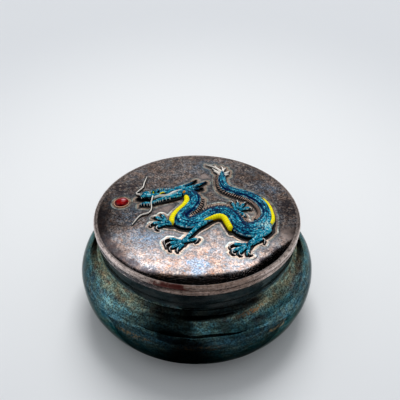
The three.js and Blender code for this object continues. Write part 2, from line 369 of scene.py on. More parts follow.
def times(colour, gain):
    """The colour multiplied, part by part, by a second colour or by one number."""
    return node(colour.tree, "ShaderNodeVectorMath", {"operation": "MULTIPLY"}, colour, gain)


def noise(place, per_mm, detail, roughness, unit=MM):
    """Smooth random values around 0.5 that change over 1 / per_mm millimetres. The unit is 1 where the
    place doesn't count in metres."""
    return node(place.tree, "ShaderNodeTexNoise", None, Vector=place,
                Scale=per_mm / unit, Detail=detail, Roughness=roughness)


def film(place, per_mm, colour, straw, blue, contrast):
    """The colour under a film of tarnish: a noise runs between the film's two hues, straw and blue,
    and a finer one between dark and light, which differ from 1 by contrast."""
    hue = noise(place, per_mm * 0.45, 4, 0.68)
    grain = noise(place, per_mm * 2.2, 3, 0.75)
    light = 1 - contrast + grain.step(0.40, 0.60) * (contrast * 2)
    return times(times(colour, mix(hue.step(0.40, 0.60), straw, blue)), light)


def fresh_material(name):
    """A material with only its output and a Principled shader, and the wire of Object coordinates."""
    material = bpy.data.materials.new(name)
    material.use_nodes = True
    tree = material.node_tree
    print("finish:", name)
    return material, tree, tree.nodes["Principled BSDF"], node(tree, "ShaderNodeTexCoord", out=3)


def feed(tree, shader, **inputs):
    """Fills the shader's sockets, named with underscores for spaces."""
    for key, value in inputs.items():
        fill(tree, shader.inputs[key.replace("_", " ")], value)


def mark(tree, name):
    """The wire of a vertex mark."""
    return node(tree, "ShaderNodeAttribute", {"attribute_name": name}, out=2)


def bump(height, strength, distance_mm):
    """A Bump node's normal for a height between 0 and 1 that stands for distance_mm."""
    return node(height.tree, "ShaderNodeBump", None,
                Height=height, Strength=strength, Distance=distance_mm * MM)


# %% [markdown]
# ## Strokes: the chaser's way of building a figure
# The dragon was modelled in low relief: a long body that thins towards the tail, legs, toes, horns and
# wires, each a bar with a rounded back that lies on the dome. Sculpting it by hand would be slow to
# change, and a height picture would have ragged sides. So each limb is a stroke: a smooth line on the
# lid with a width and a height at a few chosen points, and a half-round section carried along it.

# %% Strokes
FOOT = 0.45
FIGURE_TURN = 0.43
FIGURE_BACK = 0.34
footprint = {"figure": [], "deep": [], "wire": []}


def curve(points, step):
    """Catmull-Rom curve through the rows of points. Each span between rows b and c is a cubic in t
    whose slopes are half of c - a and of d - b. It is then sampled every step millimetres, measured
    in the plane of the first two columns. Returns the samples and their distance from the start."""
    p = np.asarray(points, float)
    p = np.vstack([2 * p[0] - p[1], p, 2 * p[-1] - p[-2]])
    a, b, c, d = (p[i:len(p) - 3 + i, None, :] for i in range(4))
    t = (np.arange(24) / 24)[None, :, None]
    span = b + 0.5 * t * (c - a + t * (2 * a - 5 * b + 4 * c - d + t * (3 * (b - c) + d - a)))
    fine = np.vstack([span.reshape(-1, p.shape[1]), p[-2]])
    length = np.concatenate([[0], np.cumsum(np.hypot(*np.diff(fine[:, :2], axis=0).T))])
    count = max(3, int(np.ceil(length[-1] / step)) + 1)
    s = np.linspace(0, length[-1], count)
    return np.column_stack([np.interp(s, length, column) for column in fine.T]), s


def settle(points):
    """Rows of points turned FIGURE_TURN degrees about the lid's axis and moved FIGURE_BACK back: the
    figure is soldered on a touch askew."""
    rows = np.array(points, float)
    cos, sin = math.cos(math.radians(FIGURE_TURN)), math.sin(math.radians(FIGURE_TURN))
    x, y = rows[:, 0].copy(), rows[:, 1].copy()
    rows[:, 0] = x * cos - y * sin
    rows[:, 1] = x * sin + y * cos + FIGURE_BACK
    return rows


def round_ends(s, radius):
    """Share of full size along a bar: a quarter circle over the first and last radius, else 1."""
    near = np.clip(np.minimum(s, s[-1] - s) / np.maximum(radius, 1e-6), 0, 1)
    return np.sqrt(1 - (1 - near) ** 2)


def directions(line):
    """Unit vectors along a line in the plane, and to its left."""
    along = np.gradient(line[:, :2], axis=0)
    along /= np.linalg.norm(along, axis=1, keepdims=True)
    return along, np.column_stack([-along[:, 1], along[:, 0]])


def stroke(points, step=0.3, sides=14, tone=0.5, relief=None, flat=1.0, blunt=1.0, ground="figure"):
    """A bar with a half-round back along the curve through [x, y, width, height] rows. The point at
    turn a of the ring at s is width/2 cos a across the line and height (sin a)^flat above the dome;
    the lower half goes FOOT deep instead, into the silver. relief(s, across) adds height. A fifth
    number in the rows is the tone there. The line is left in the footprint named by ground."""
    line, s = curve(settle(points), step)
    width, height = line[:, 2:3], line[:, 3:4]
    if line.shape[1] > 4:
        tone = line[:, 4:5]
    _, left = directions(line)
    swell = round_ends(s, blunt * (width[[0, -1], 0].mean() / 2 + 1e-3))[:, None]
    turn = 2 * np.pi * (np.arange(sides) + 0.5) / sides
    across = np.cos(turn)[None, :]
    rise = np.sin(turn)[None, :]
    reach = width / 2 * swell
    up = np.where(rise > 0, height * swell * np.abs(rise) ** flat, FOOT * rise)
    whole = np.ones((len(s), sides))
    carved = 0 * whole
    if relief is not None:
        carved = relief(s[:, None], across) * whole
        extra = carved * swell * (rise > 0)
        reach = reach + extra * across ** 2
        up = up + extra * np.clip(rise, 0, 1)
    x = line[:, 0:1] + left[:, 0:1] * across * reach
    y = line[:, 1:2] + left[:, 1:2] * across * reach
    z = dome_z(np.hypot(x, y)) + up
    body = np.stack([x, y, z], axis=-1).reshape(-1, 3)
    ends = np.stack([body[:sides].mean(0), body[-sides:].mean(0)])
    if ground:
        footprint[ground].append(np.column_stack([line[:, 0], line[:, 1], width[:, 0] / 2]))
    return tube(body, len(s), sides, ends, {
        "across": (across * whole).ravel(),
        "rise": (np.clip(rise, 0, 1) * whole).ravel(),
        "along": (s[:, None] * whole).ravel(),
        "tone": (tone * whole).ravel(),
        "carved": carved.ravel(),
    })


def knob(x, y, radius, height, tone=0.5, stretch=1.0, turn=0.0):
    """A low round swelling: a short stroke as long as stretch times its width, turned in degrees."""
    half = radius * stretch * 0.999
    dx = half * math.cos(math.radians(turn))
    dy = half * math.sin(math.radians(turn))
    w = 2 * radius
    rows = [[x - dx, y - dy, w, height], [x, y, w, height], [x + dx, y + dy, w, height]]
    return stroke(rows, radius / 5, 14, tone, blunt=stretch, ground=None)


# %% [markdown]
# ## The dragon's body
# The body is one long stroke, from behind the jaw round the chest and the haunch to the tail. Its back
# is covered with overlapping scales. Each scale is a cell of a brick pattern in two directions, the
# distance along the body and the place across it, and inside a cell the surface climbs towards the
# scale's rounded tip and drops at its edge.

# %% Body
BODY = [
    [-5.2, 10.0, 4.0, 1.4, 0.40], [-1.9, 8.4, 4.7, 1.5, 0.40], [-1.0, 4.8, 5.0, 1.5, 0.40],
    [-2.5, 1.0, 5.4, 1.5, 0.40], [-5.2, -2.6, 6.2, 1.6, 0.42], [-5.4, -6.0, 6.8, 1.7, 0.35],
    [-2.2, -7.2, 6.4, 1.6, 0.38], [2.2, -4.9, 6.2, 1.6, 0.50], [5.8, -1.8, 6.0, 1.6, 0.50],
    [9.4, -1.1, 5.8, 1.6, 0.45], [12.2, -3.8, 6.0, 1.6, 0.38], [13.8, -8.0, 6.6, 1.7, 0.38],
    [17.0, -10.5, 7.8, 2.0, 0.42], [21.0, -9.3, 7.6, 2.0, 0.60], [24.0, -5.2, 6.0, 1.8, 0.85],
    [24.6, -0.8, 5.0, 1.6, 0.60], [23.2, 4.2, 4.8, 1.5, 0.45], [19.4, 8.2, 4.6, 1.5, 0.40],
    [14.4, 10.4, 4.2, 1.4, 0.52], [10.7, 12.6, 3.9, 1.3, 0.55], [9.3, 16.3, 3.2, 1.2, 0.62],
    [9.3, 20.6, 2.6, 1.0, 0.52], [9.4, 24.4, 1.2, 0.7, 0.40],
]
SCALE_LENGTH = 0.95
SCALE_ROWS = 7
SCALE_HEIGHT = 0.16
GROOVES = [-0.45, -0.10, 0.22, 0.58]
GROOVE_DEPTH = 0.12


def scales(s, across):
    """Brick cells: row from the place across, half a cell's shift in every second row. In a cell the
    height climbs with the distance past a rounded front edge, and is highest on the cell's middle.
    A few chased grooves run along the body over them, each a narrow bell that wanders a little."""
    row = (across + 1) / 2 * SCALE_ROWS
    side = 2 * (row - np.floor(row)) - 1
    shift = 0.5 * (np.floor(row) % 2)
    cell = s / SCALE_LENGTH + shift + 0.3 * side ** 2
    climb = 1 - (cell - np.floor(cell))
    wander = 0.05 * np.sin(s / 3.1) + 0.03 * np.sin(s / 1.3 + 1)
    grooves = sum(np.exp(-((across - place + wander) / 0.06) ** 2) for place in GROOVES)
    return SCALE_HEIGHT * (climb * (1 - 0.5 * side ** 2) - 0.35) - GROOVE_DEPTH * grooves


body = stroke(BODY, 0.12, 44, 0.45, scales, flat=0.85)
print("body:", len(body["points"]), "points")

# %% [markdown]
# ## Belly plates
# Where the underside shows, three strips of opaque yellow enamel run along the body, crossed by fine
# ridges. They are strokes as well, with a ridge wave along them as their relief.

# %% Belly
BELLY = [
    [[-4.3, 7.4, 1.38, 1.5], [-3.7, 6.0, 2.02, 1.65], [-3.7, 4.0, 2.21, 1.7], [-4.9, 1.4, 2.21, 1.7],
     [-7.0, -1.6, 2.3, 1.75], [-8.5, -4.8, 2.48, 1.75], [-8.6, -7.9, 1.84, 1.5]],
    [[2.0, -7.0, 0.64, 1.5], [4.4, -5.6, 1.56, 1.75], [7.2, -4.2, 2.02, 1.8], [9.2, -4.8, 2.3, 1.8],
     [10.4, -7.6, 2.3, 1.8], [11.6, -10.8, 2.02, 1.7]],
    [[21.8, 7.9, 0.46, 1.0], [24.0, 5.6, 1.2, 1.45], [25.4, 2.4, 1.75, 1.55], [26.1, -1.4, 1.84, 1.6],
     [26.2, -4.6, 1.75, 1.7], [25.3, -7.6, 1.38, 1.8]],
]
PLATE_PITCH = 1.0
PLATE_HEIGHT = 0.12


def plates(s, across):
    """Ridges across the strip: height follows the root of half a sine along it, so that the valleys
    between plates are narrow."""
    return PLATE_HEIGHT * (np.sqrt(np.abs(np.sin(np.pi * s / PLATE_PITCH))) - 0.6)


belly = join([stroke(points, 0.1, 14, 0.5, plates, flat=0.8) for points in BELLY])
print("belly:", len(belly["points"]), "points")

# %% [markdown]
# ## Head
# The head is seen from the side with open jaws. A goldsmith would block it out with a few bold forms
# and then set the small ones on top: the snout, the lower jaw, the cheek, the brow, the bony crown,
# the horns, the ears and the fringe of the beard.

# %% Head
HEAD = [
    # skull, from the nape to the brow
    ([[-4.2, 9.6, 3.2, 1.6], [-7.7, 9.8, 3.6, 1.7], [-10.8, 9.7, 3.2, 1.7], [-13.8, 8.9, 2.4, 1.5]], 0.40),
    # snout, and the nose wing above the nostril
    ([[-13.2, 8.2, 1.8, 1.5], [-16.2, 7.8, 2.1, 1.6], [-18.4, 8.1, 2.4, 1.7], [-20.4, 8.0, 1.4, 1.2]], 0.65),
    ([[-16.8, 8.8, 0.9, 1.9], [-18.1, 9.1, 1.2, 2.0], [-19.7, 8.7, 0.9, 1.6]], 0.95),
    # upper lip
    ([[-15.6, 6.4, 0.7, 1.2], [-17.9, 6.5, 0.8, 1.2], [-20.0, 6.8, 0.7, 1.0], [-21.8, 7.3, 0.3, 0.7]], 0.0),
    # jaw under the ridge
    ([[-5.3, 8.2, 2.1, 1.6], [-7.8, 7.3, 2.1, 1.6], [-10.7, 6.4, 1.6, 1.5], [-12.7, 5.6, 1.4, 1.4],
      [-15.0, 4.6, 1.2, 1.3]], 0.70),
    # lower jaw, out to the chin
    ([[-14.4, 4.7, 1.1, 1.2], [-16.6, 3.6, 1.4, 1.2], [-18.2, 3.8, 1.4, 1.2], [-20.3, 3.5, 0.7, 0.9]], 0.60),
    # cheek
    ([[-8.4, 7.3, 1.1, 1.75], [-7.0, 7.9, 1.5, 1.9], [-5.8, 8.6, 1.0, 1.75]], 1.0),
    # brow curls
    ([[-16.4, 8.8, 0.6, 1.7], [-16.2, 10.0, 0.7, 1.7], [-15.3, 10.5, 0.7, 1.5], [-14.9, 9.8, 0.4, 1.5]], 0.7),
    ([[-14.7, 9.0, 0.7, 1.8], [-14.4, 10.7, 0.8, 1.6], [-13.4, 11.6, 0.4, 1.1]], 0.8),
    # horns and ears
    ([[-8.4, 11.2, 1.4, 1.6, 0.6], [-5.7, 12.6, 1.5, 1.5, 0.6], [-3.4, 14.1, 1.1, 1.2, 0.3],
      [0.0, 17.8, 0.45, 0.7, -0.2]], 0.55),
    ([[-6.0, 10.7, 1.6, 1.6, 0.6], [-2.6, 12.1, 1.5, 1.5, 0.6], [0.2, 14.0, 1.1, 1.1, 0.4],
      [3.6, 16.6, 0.4, 0.7, 0.0]], 0.55),
    ([[-4.4, 10.5, 1.5, 1.5, 0.45], [-1.8, 11.1, 1.2, 1.3, 0.4], [2.4, 12.4, 0.4, 0.7, -0.2]], 0.45),
]
CROWN_LUMPS = 6

head_parts = [stroke(points, 0.25, 18, tone) for points, tone in HEAD]
for i in range(CROWN_LUMPS):
    share = i / (CROWN_LUMPS - 1)
    head_parts.append(knob(-12.9 + 4.9 * share, 10.9 + 0.3 * share, 0.5, 1.75, 1.3, 1.0, 20))
head = join(head_parts)
print("head:", len(head["points"]), "points")

# %% [markdown]
# ## Legs, toes and claws
# Each leg is a stroke from shoulder to wrist. The toes start in the palm, swell at the knuckle and end
# where the claw begins. The claws were left as bare silver, so they are strokes of their own piece.

# %% Legs, toes and claws
LEGS = [
    [[3.0, -6.6, 3.0, 1.75, 0.7], [0.3, -9.4, 1.9, 1.6, 0.8], [-1.3, -11.6, 1.7, 1.5, 0.8],
     [-3.1, -14.0, 1.6, 1.3, 0.7], [-4.9, -16.8, 2.4, 1.1, 0.7]],
    [[24.6, -8.6, 4.0, 2.0, 1.3], [23.2, -11.4, 2.7, 1.8, 1.2], [20.8, -13.6, 2.1, 1.6, 0.8],
     [18.6, -15.9, 1.8, 1.4, 0.7], [17.0, -17.8, 2.5, 1.1, 0.7]],
    [[-8.4, -7.6, 2.2, 1.3, 0.7], [-11.0, -6.8, 2.7, 1.1, 0.7]],
    [[12.6, -0.8, 2.4, 1.5, 0.7], [14.2, 0.2, 2.4, 1.1, 0.7]],
]
TOES = [
    [[-5.2, -16.4], [-9.4, -14.9], [-11.4, -18.4]], [[-5.2, -17.0], [-9.2, -17.1], [-10.7, -19.8]],
    [[-5.0, -17.6], [-8.9, -19.1], [-8.8, -21.2]], [[-4.6, -17.8], [-6.6, -20.1], [-6.4, -21.6]],
    [[-4.0, -16.4], [0.0, -15.4], [-0.9, -17.5]],
    [[16.6, -17.5], [12.2, -17.5], [10.6, -20.2]], [[16.4, -18.0], [11.6, -20.7], [12.4, -22.6]],
    [[16.6, -18.4], [13.7, -21.5], [15.0, -22.9]], [[17.4, -18.2], [16.6, -21.6], [18.6, -21.9]],
    [[18.4, -17.2], [22.1, -14.4], [22.6, -17.0]],
    [[-10.6, -6.2], [-12.0, -3.0], [-13.1, -2.0]], [[-10.8, -6.4], [-14.2, -3.9], [-15.6, -4.2]],
    [[-11.0, -7.0], [-15.4, -7.0], [-16.1, -9.2]], [[-10.8, -7.8], [-13.8, -8.9], [-13.0, -11.0]],
    [[13.4, 0.4], [12.6, 3.6], [11.5, 4.6]], [[14.0, 0.6], [14.4, 3.9], [13.6, 5.6]],
    [[14.6, 0.4], [16.4, 3.4], [17.6, 4.5]], [[14.8, 0.0], [18.4, 1.4], [19.0, 0.0]],
    [[14.2, -0.6], [16.4, -2.8], [15.2, -4.0]],
]
TOE_WIDTH = 1.2
TOE_HEIGHT = 1.0
TOE_PAST_NAIL = 0.5
TOE_SHAPE = [(0.0, 1.1, 1.1), (0.35, 0.85, 1.0), (0.68, 1.1, 1.1), (1.0, 0.7, 0.8)]
CLAW_WIDTH = 0.6
CLAW_SHARE = 0.8


def toe(palm, nail):
    """A toe from the palm to the root of its claw, with a knuckle at two thirds of its length. The
    rows of TOE_SHAPE are the share of the length, and the width and height there."""
    palm, nail = np.array(palm), np.array(nail)
    nail = nail + (nail - palm) / np.linalg.norm(nail - palm) * TOE_PAST_NAIL
    return stroke([[*(palm + (nail - palm) * share), TOE_WIDTH * w, TOE_HEIGHT * h]
                   for share, w, h in TOE_SHAPE], 0.2, 14, 0.75, ground="deep")


def claw(palm, nail, tip):
    """A hooked claw that leaves in the toe's direction and bends round to its tip."""
    palm, nail, tip = np.array(palm), np.array(nail), np.array(tip)
    forward = (nail - palm) / np.linalg.norm(nail - palm)
    tip = nail + (tip - nail) * CLAW_SHARE
    reach = np.linalg.norm(tip - nail)
    bend = (nail + tip) / 2 + forward * reach * 0.28
    start = nail - forward * 0.3
    rows = [[*start, CLAW_WIDTH * 0.9, 1.1], [*bend, CLAW_WIDTH, 1.0], [*tip, 0.16, 0.4]]
    return stroke(rows, 0.15, 12, ground="deep")


legs = join([stroke(points, 0.25, 20, 0.7) for points in LEGS] + [toe(*t[:2]) for t in TOES])
claws = join([claw(*t) for t in TOES])
print("legs:", len(legs["points"]), "points, claws:", len(claws["points"]), "points")

# %% [markdown]
# ## Silver wires: whiskers, tuft and spines
# The finest parts stayed uncovered and were rubbed bright: two long whiskers, the tuft of hair on the
# tail, and the tips of the spines along the back. Whiskers and strands are thin strokes. The spines
# are one loop along the body's line, each a short stroke that leans backwards.

# %% Wires
WHISKERS = [
    [[-20.2, 8.6, 0.43, 1.6], [-21.5, 9.6, 0.39, 1.0], [-21.6, 10.7, 0.34, 0.9], [-19.6, 13.8, 0.43, 0.8],
     [-19.2, 16.6, 0.39, 0.75], [-18.3, 21.0, 0.21, 0.5]],
    [[-15.7, 6.9, 0.56, 2.0], [-16.0, 4.8, 0.52, 2.0], [-16.2, 3.4, 0.43, 1.6], [-16.0, 0.9, 0.43, 0.9],
     [-16.9, -1.3, 0.39, 0.8], [-19.5, -2.4, 0.39, 0.8], [-20.9, -4.2, 0.34, 0.7], [-22.5, -7.0, 0.21, 0.5]],
]
CHEEK_RIDGE = [[-15.2, 6.1, 0.4, 1.8], [-13.5, 6.9, 0.5, 1.9], [-10.8, 6.9, 0.5, 1.95],
               [-8.7, 8.4, 0.85, 1.95], [-7.2, 9.3, 0.6, 1.9], [-5.2, 10.2, 0.4, 1.8]]
JAW_SHADOW = [[-15.6, 3.2, 0.5, 0.5], [-13.0, 4.1, 0.8, 0.6], [-10.2, 5.0, 0.9, 0.6], [-7.6, 5.9, 0.9, 0.6],
              [-5.4, 7.0, 0.7, 0.6]]
TUFT = [
    [[9.2, 23.0], [3.4, 28.5]], [[9.0, 22.2], [5.7, 26.1]], [[8.6, 20.8], [6.2, 24.0]],
    [[9.3, 23.6], [6.7, 28.1]], [[9.5, 23.6], [9.0, 27.8]], [[9.7, 23.0], [10.9, 26.6]],
    [[9.9, 22.0], [12.2, 24.4]], [[10.0, 20.6], [11.9, 22.0]],
]
SPINE_STRETCHES = [(0.06, 0.26), (0.32, 0.46), (0.60, 0.97)]
SPINE_PITCH = 0.8
SPINE_REACH = 1.15
SPINE_LEAN = 0.35
FRINGE_WIDTH = 1.3
FRINGE_HEIGHT = 0.45


def strand(root, tip, side):
    """A lock of the tuft: it leaves the tail, bows a little to one side and ends in a point."""
    root, tip = np.array(root), np.array(tip)
    across = np.array([root[1] - tip[1], tip[0] - root[0]])
    middle = (root + tip) / 2 + across * 0.09 * side
    return stroke([[*root, 0.55, 0.9], [*middle, 0.6, 0.8], [*tip, 0.15, 0.4]], 0.2, 12)


def spines():
    """Spines every SPINE_PITCH along chosen stretches of the back, standing out from its edge, over a
    low dark fringe that follows the edge."""
    line, s = curve(BODY, SPINE_PITCH)
    along, outwards = directions(line)
    share = s / s[-1]
    out = []
    for start, end in SPINE_STRETCHES:
        rows = (share >= start) & (share <= end)
        place = line[rows, :2] + outwards[rows] * (line[rows, 2:3] / 2 + 0.25)
        count = rows.sum()
        fringe = np.column_stack([place, np.full(count, FRINGE_WIDTH), np.full(count, FRINGE_HEIGHT)])
        out.append(stroke(fringe, 0.4, 8, 0.0))
        for (x, y, width, height, _), back, side in zip(line[rows], along[rows], outwards[rows]):
            size = 0.6 + 0.4 * width / 6
            root = [x, y] + side * (width / 2 - 0.2)
            tip = [x, y] + side * (width / 2 + SPINE_REACH * size) + back * SPINE_LEAN
            out.append(stroke([[*root, 0.42 * size, height * 0.5], [*tip, 0.14, 0.55]], 0.18, 8))
    return join(out)


whiskers = join([stroke(points, 0.2, 14, flat=0.5, ground="wire") for points in WHISKERS])
cheek_ridge = stroke(CHEEK_RIDGE, 0.15, 14, flat=0.5, ground=None)
tuft = join([strand(root, tip, 1 if i % 2 else -1) for i, (root, tip) in enumerate(TUFT)])
spine_row = spines()
print("whiskers:", len(whiskers["points"]), "points, spines:", len(spine_row["points"]), "points")

# %% [markdown]
# ## The lid's face
# The figure stands on a ground that was chased down a little beside it, with a fine step outside.
# The finish paints a pale highlight along that step as an outline. To lower the ground, every point
# of the face asks how far it is from the nearest stroke. The strokes left a trail of circles for this,
# one for each sample of their line. The whiskers are only laid on, so they keep a trail of their own,
# and so do the toes and the pearl. Next to them the finish paints black, patina with painted shade,
# and beside the whiskers a painted shadow line.

# %% Distance to the figure
PEARL_X = -26.9
PEARL_Y = 6.1
PEARL_RADIUS = 2.6
PEARL_HEIGHT = 1.2

footprint["deep"].append(np.array([[PEARL_X, PEARL_Y, PEARL_RADIUS]]))


def trail_distance(name, x, y):
    """Distance from each point to the edge of the nearest circle of a trail, negative inside, worked
    out for a hundred circles at a time."""
    circles = np.concatenate(footprint[name])[::2]
    nearest = np.full(len(x), 99.0)
    for start in range(0, len(circles), 100):
        some = circles[start:start + 100]
        gap = np.hypot(x[:, None] - some[:, 0], y[:, None] - some[:, 1]) - some[:, 2]
        nearest = np.minimum(nearest, gap.min(axis=1))
    return nearest


# %% [markdown]
# A disc turned from a profile has its points crowded in the middle and thin outside. The fine step
# needs the same fineness everywhere, so the face is a square grid bent into a disc: the point (u, v)
# of the square goes to u * sqrt(1 - v^2 / 2), v * sqrt(1 - u^2 / 2).

# %% Lid face
FACE_GRID = 300
FACE_DEPTH = 0.6
GROUND_DEPTH = 0.025
GROUND_WIDTH = 0.85
STEP_WIDTH = 0.40
LIP_HEIGHT = 0.008
FRONT_REACH = 0.95
BACK_REACH = 0.3


def smooth_step(values, low, high):
    """0 below low, 1 above high, and a smooth S between."""
    t = np.clip((values - low) / (high - low), 0, 1)
    return t * t * (3 - 2 * t)


def bent_disc(count, radius):
    """A square grid bent into a disc, closed below by a fan from its edge to one point."""
    u, v = np.meshgrid(np.linspace(-1, 1, count), np.linspace(-1, 1, count), indexing="ij")
    x = radius * u * np.sqrt(1 - v * v / 2)
    y = radius * v * np.sqrt(1 - u * u / 2)
    index = np.arange(count * count).reshape(count, count)
    edge = np.concatenate([index[0, :-1], index[:-1, -1], index[-1, :0:-1], index[:0:-1, 0]])
    points = np.column_stack([x.ravel(), y.ravel(), dome_z(np.hypot(x, y)).ravel()])
    low_edge = points[edge] - [0, 0, FACE_DEPTH]
    centre = [[0, 0, DOME_TOP_Z - FACE_DEPTH]]
    first = count * count
    k = np.arange(len(edge))
    nxt = (k + 1) % len(edge)
    sides = np.column_stack([edge, edge[nxt], first + nxt, first + k])
    fan = np.column_stack([first + k, first + nxt, np.full(len(edge), first + len(edge))])
    return {
        "points": np.concatenate([points, low_edge, centre]),
        "quads": np.concatenate([grid_quads(count, count, False)[:, ::-1], sides]),
        "triangles": fan,
        "marks": {},
    }, count * count


face, top_count = bent_disc(FACE_GRID, DOME_RADIUS + 0.05)
p = face["points"]
x, y = p[:, 0], p[:, 1]
deep_away = trail_distance("deep", x, y)
away = np.minimum(trail_distance("figure", x, y), deep_away)
# The finish paints shadow from wire_away beside the whiskers and from front_away on the figure's front.
wire_away = trail_distance("wire", x, y)
front_away = np.minimum(trail_distance("figure", x, y + FRONT_REACH), away)
halo_away = np.minimum(trail_distance("figure", x, y - BACK_REACH), front_away)
sunk = GROUND_DEPTH * (1 - smooth_step(halo_away, GROUND_WIDTH, GROUND_WIDTH + STEP_WIDTH))
lip = LIP_HEIGHT * np.exp(-((halo_away - GROUND_WIDTH - STEP_WIDTH - 0.1) / 0.25) ** 2)
top = np.arange(len(p)) < top_count
p[:, 2] += np.where(top, lip - sunk, 0)
face["marks"] = {"away": away, "wire_away": wire_away, "deep_away": deep_away, "front_away": front_away,
                 "halo_away": halo_away}
face = outward(face)
print("face:", len(p), "points")

# %% [markdown]
# ## The lid's rim
# Under the face lies the lid proper, turned from one profile: the dome a little below the face, the
# full roll, the smaller bead, and the hollow inside that fits over the bowl's collar. It wears the
# same finish as the face, so it carries the same marks, all far from the figure.

# %% Lid
LID_SEGMENTS = 300
BEAD_RADIUS = 35.95
BEAD_Z = 36.9
BEAD_HALF = 1.15
ROLL_Z = 39.35
ROLL_HALF = 1.15
FAR_AWAY = 9.0

inner_radius = COLLAR_RADIUS + GAP
rings = np.linspace(0, DOME_RADIUS, 16)
lid_profile = np.concatenate([
    np.column_stack([rings, dome_z(rings) - 0.3 * smooth_step(DOME_RADIUS - rings, 0, 2.5)]),
    arc(RIM_RADIUS - ROLL_HALF, ROLL_Z, ROLL_HALF, ROLL_HALF, 72, -52, 16),
    arc(BEAD_RADIUS - BEAD_HALF, BEAD_Z, BEAD_HALF, BEAD_HALF, 48, -62, 12),
    refine(np.array([
        [BEAD_RADIUS - BEAD_HALF, LID_BOTTOM_Z],
        [inner_radius, LID_BOTTOM_Z],
        [inner_radius, COLLAR_TOP_Z + GAP],
        [inner_radius - WALL, dome_z(inner_radius - WALL) - WALL],
        [inner_radius / 2, dome_z(inner_radius / 2) - WALL],
        [0, DOME_TOP_Z - WALL],
    ]), 4.0),
])
lid = turned(lid_profile, LID_SEGMENTS)
lid["marks"] = {key: np.full(len(lid["points"]), FAR_AWAY) for key in face["marks"]}
print("lid:", len(lid["points"]), "points")

# %% [markdown]
# ## The bowl
# The bowl's wall is one profile: a squarish lower curve, the round shoulder, a small hollow, and the
# straight neck with its fine step. Hammered and planished sheet is never quite true, so a few long
# waves a few hundredths of a millimetre deep are laid over it. They bend the reflections.

# %% Bowl
BOWL_SEGMENTS = 300
WAVE = 0.05

shoulder_x = BELLY_RADIUS - SHOULDER_RUN
base_run = BELLY_RADIUS - BASE_RADIUS
neck_in = NECK_RADIUS - WALL
bowl_profile = np.concatenate([
    refine(np.array([
        [0, BASE_HOLLOW],
        [BASE_RADIUS - BASE_RING - BASE_HOLLOW, BASE_HOLLOW],
        [BASE_RADIUS - BASE_RING, 0],
        [BASE_RADIUS - 0.6, 0],
    ]), 3.0),
    arc(BASE_RADIUS, BELLY_Z, base_run, BELLY_Z, -90, 0, 48, LOWER_POWER),
    arc(shoulder_x, BELLY_Z, SHOULDER_RUN, SHOULDER_RISE, 2, SHOULDER_END, 30),
    np.array([
        [35.45, 27.75], [35.05, 28.25], [34.75, 28.8], [34.55, 29.5], [34.45, 30.2],
        [NECK_RADIUS, NECK_STEP_Z - NECK_STEP],
        [NECK_RADIUS + 0.06, NECK_STEP_Z - 0.12],
        [NECK_RADIUS + NECK_STEP - 0.05, NECK_STEP_Z],
        [NECK_RADIUS + NECK_STEP, NECK_STEP_Z + 0.15],
        [NECK_RADIUS + NECK_STEP - 0.05, NECK_STEP_Z + 1.4],
        [NECK_RADIUS + NECK_STEP - 0.05, NECK_STEP_Z + 2.8],
        [NECK_RADIUS + NECK_STEP, NECK_TOP_Z - 0.15],
        [NECK_RADIUS + NECK_STEP - 0.12, NECK_TOP_Z],
    ]),
    refine(np.array([
        [COLLAR_RADIUS, NECK_TOP_Z],
        [COLLAR_RADIUS, COLLAR_TOP_Z - 0.1],
        [COLLAR_RADIUS - 0.2, COLLAR_TOP_Z],
        [COLLAR_RADIUS - COLLAR_WALL, COLLAR_TOP_Z],
        [COLLAR_RADIUS - COLLAR_WALL, NECK_TOP_Z - WALL],
        [neck_in, NECK_TOP_Z - 2 * WALL],
        [neck_in, 28.0],
    ]), 3.0),
    arc(shoulder_x, BELLY_Z, SHOULDER_RUN - WALL, SHOULDER_RISE - WALL, SHOULDER_END - 4, 0, 12),
    arc(BASE_RADIUS, BELLY_Z, base_run - WALL, BELLY_Z - FLOOR_Z, -5, -90, 16, LOWER_POWER),
    np.array([[12.0, FLOOR_Z], [0, FLOOR_Z]]),
])
bowl = turned(bowl_profile, BOWL_SEGMENTS)
p = bowl["points"]
theta = np.arctan2(p[:, 1], p[:, 0])
wave = (
    np.sin(5 * theta + 0.35 * p[:, 2] + 1.0)
    + 0.8 * np.sin(9 * theta - 0.5 * p[:, 2])
    + 0.5 * np.sin(16 * theta + 0.8 * p[:, 2] + 2.0)
)
belly_share = np.clip((p[:, 2] - 2) / 6, 0, 1) * np.clip((29 - p[:, 2]) / 4, 0, 1)
push = -np.abs(WAVE * wave) * belly_share
p[:, 0] += np.cos(theta) * push
p[:, 1] += np.sin(theta) * push
print("bowl:", len(p), "points")

# %% [markdown]
# ## The pearl
# A low cabochon of red enamel sits in a thin silver collar in front of the dragon's mouth.

# %% Pearl
def lean_on_dome(surface, x, y):
    """Moves a surface made round the axis to (x, y) and shears it so that it stands on the dome."""
    p = surface["points"]
    p[:, 0] += x
    p[:, 1] += y
    p[:, 2] += dome_z(np.hypot(p[:, 0], p[:, 1]))
    return surface


def round_profile(radius, height, steps):
    """Profile of a cabochon: a quarter ellipse above a short foot."""
    dome = arc(0, 0, radius, height, 90, 0, steps)
    foot = np.array([[radius, -0.2], [radius - 0.3, -FOOT], [0, -FOOT]])
    return np.concatenate([dome, foot])


def ring_profile(radius, half):
    """Section of a thin ring, started and ended on the axis below the pearl."""
    outer = arc(radius, 0.1, half, half * 1.6, 90, -30, 10)
    return np.concatenate([[[0, 0.0], [radius - half, 0.15]], outer, [[radius, -FOOT], [0, -FOOT]]])


pearl = lean_on_dome(turned(round_profile(PEARL_RADIUS, PEARL_HEIGHT, 24), 64), PEARL_X, PEARL_Y)
collar = lean_on_dome(turned(ring_profile(PEARL_RADIUS + 0.05, 0.15), 64), PEARL_X, PEARL_Y)
for surface in (pearl, collar):
    surface["marks"] = {"rise": np.ones(len(surface["points"])), "tone": np.ones(len(surface["points"]))}
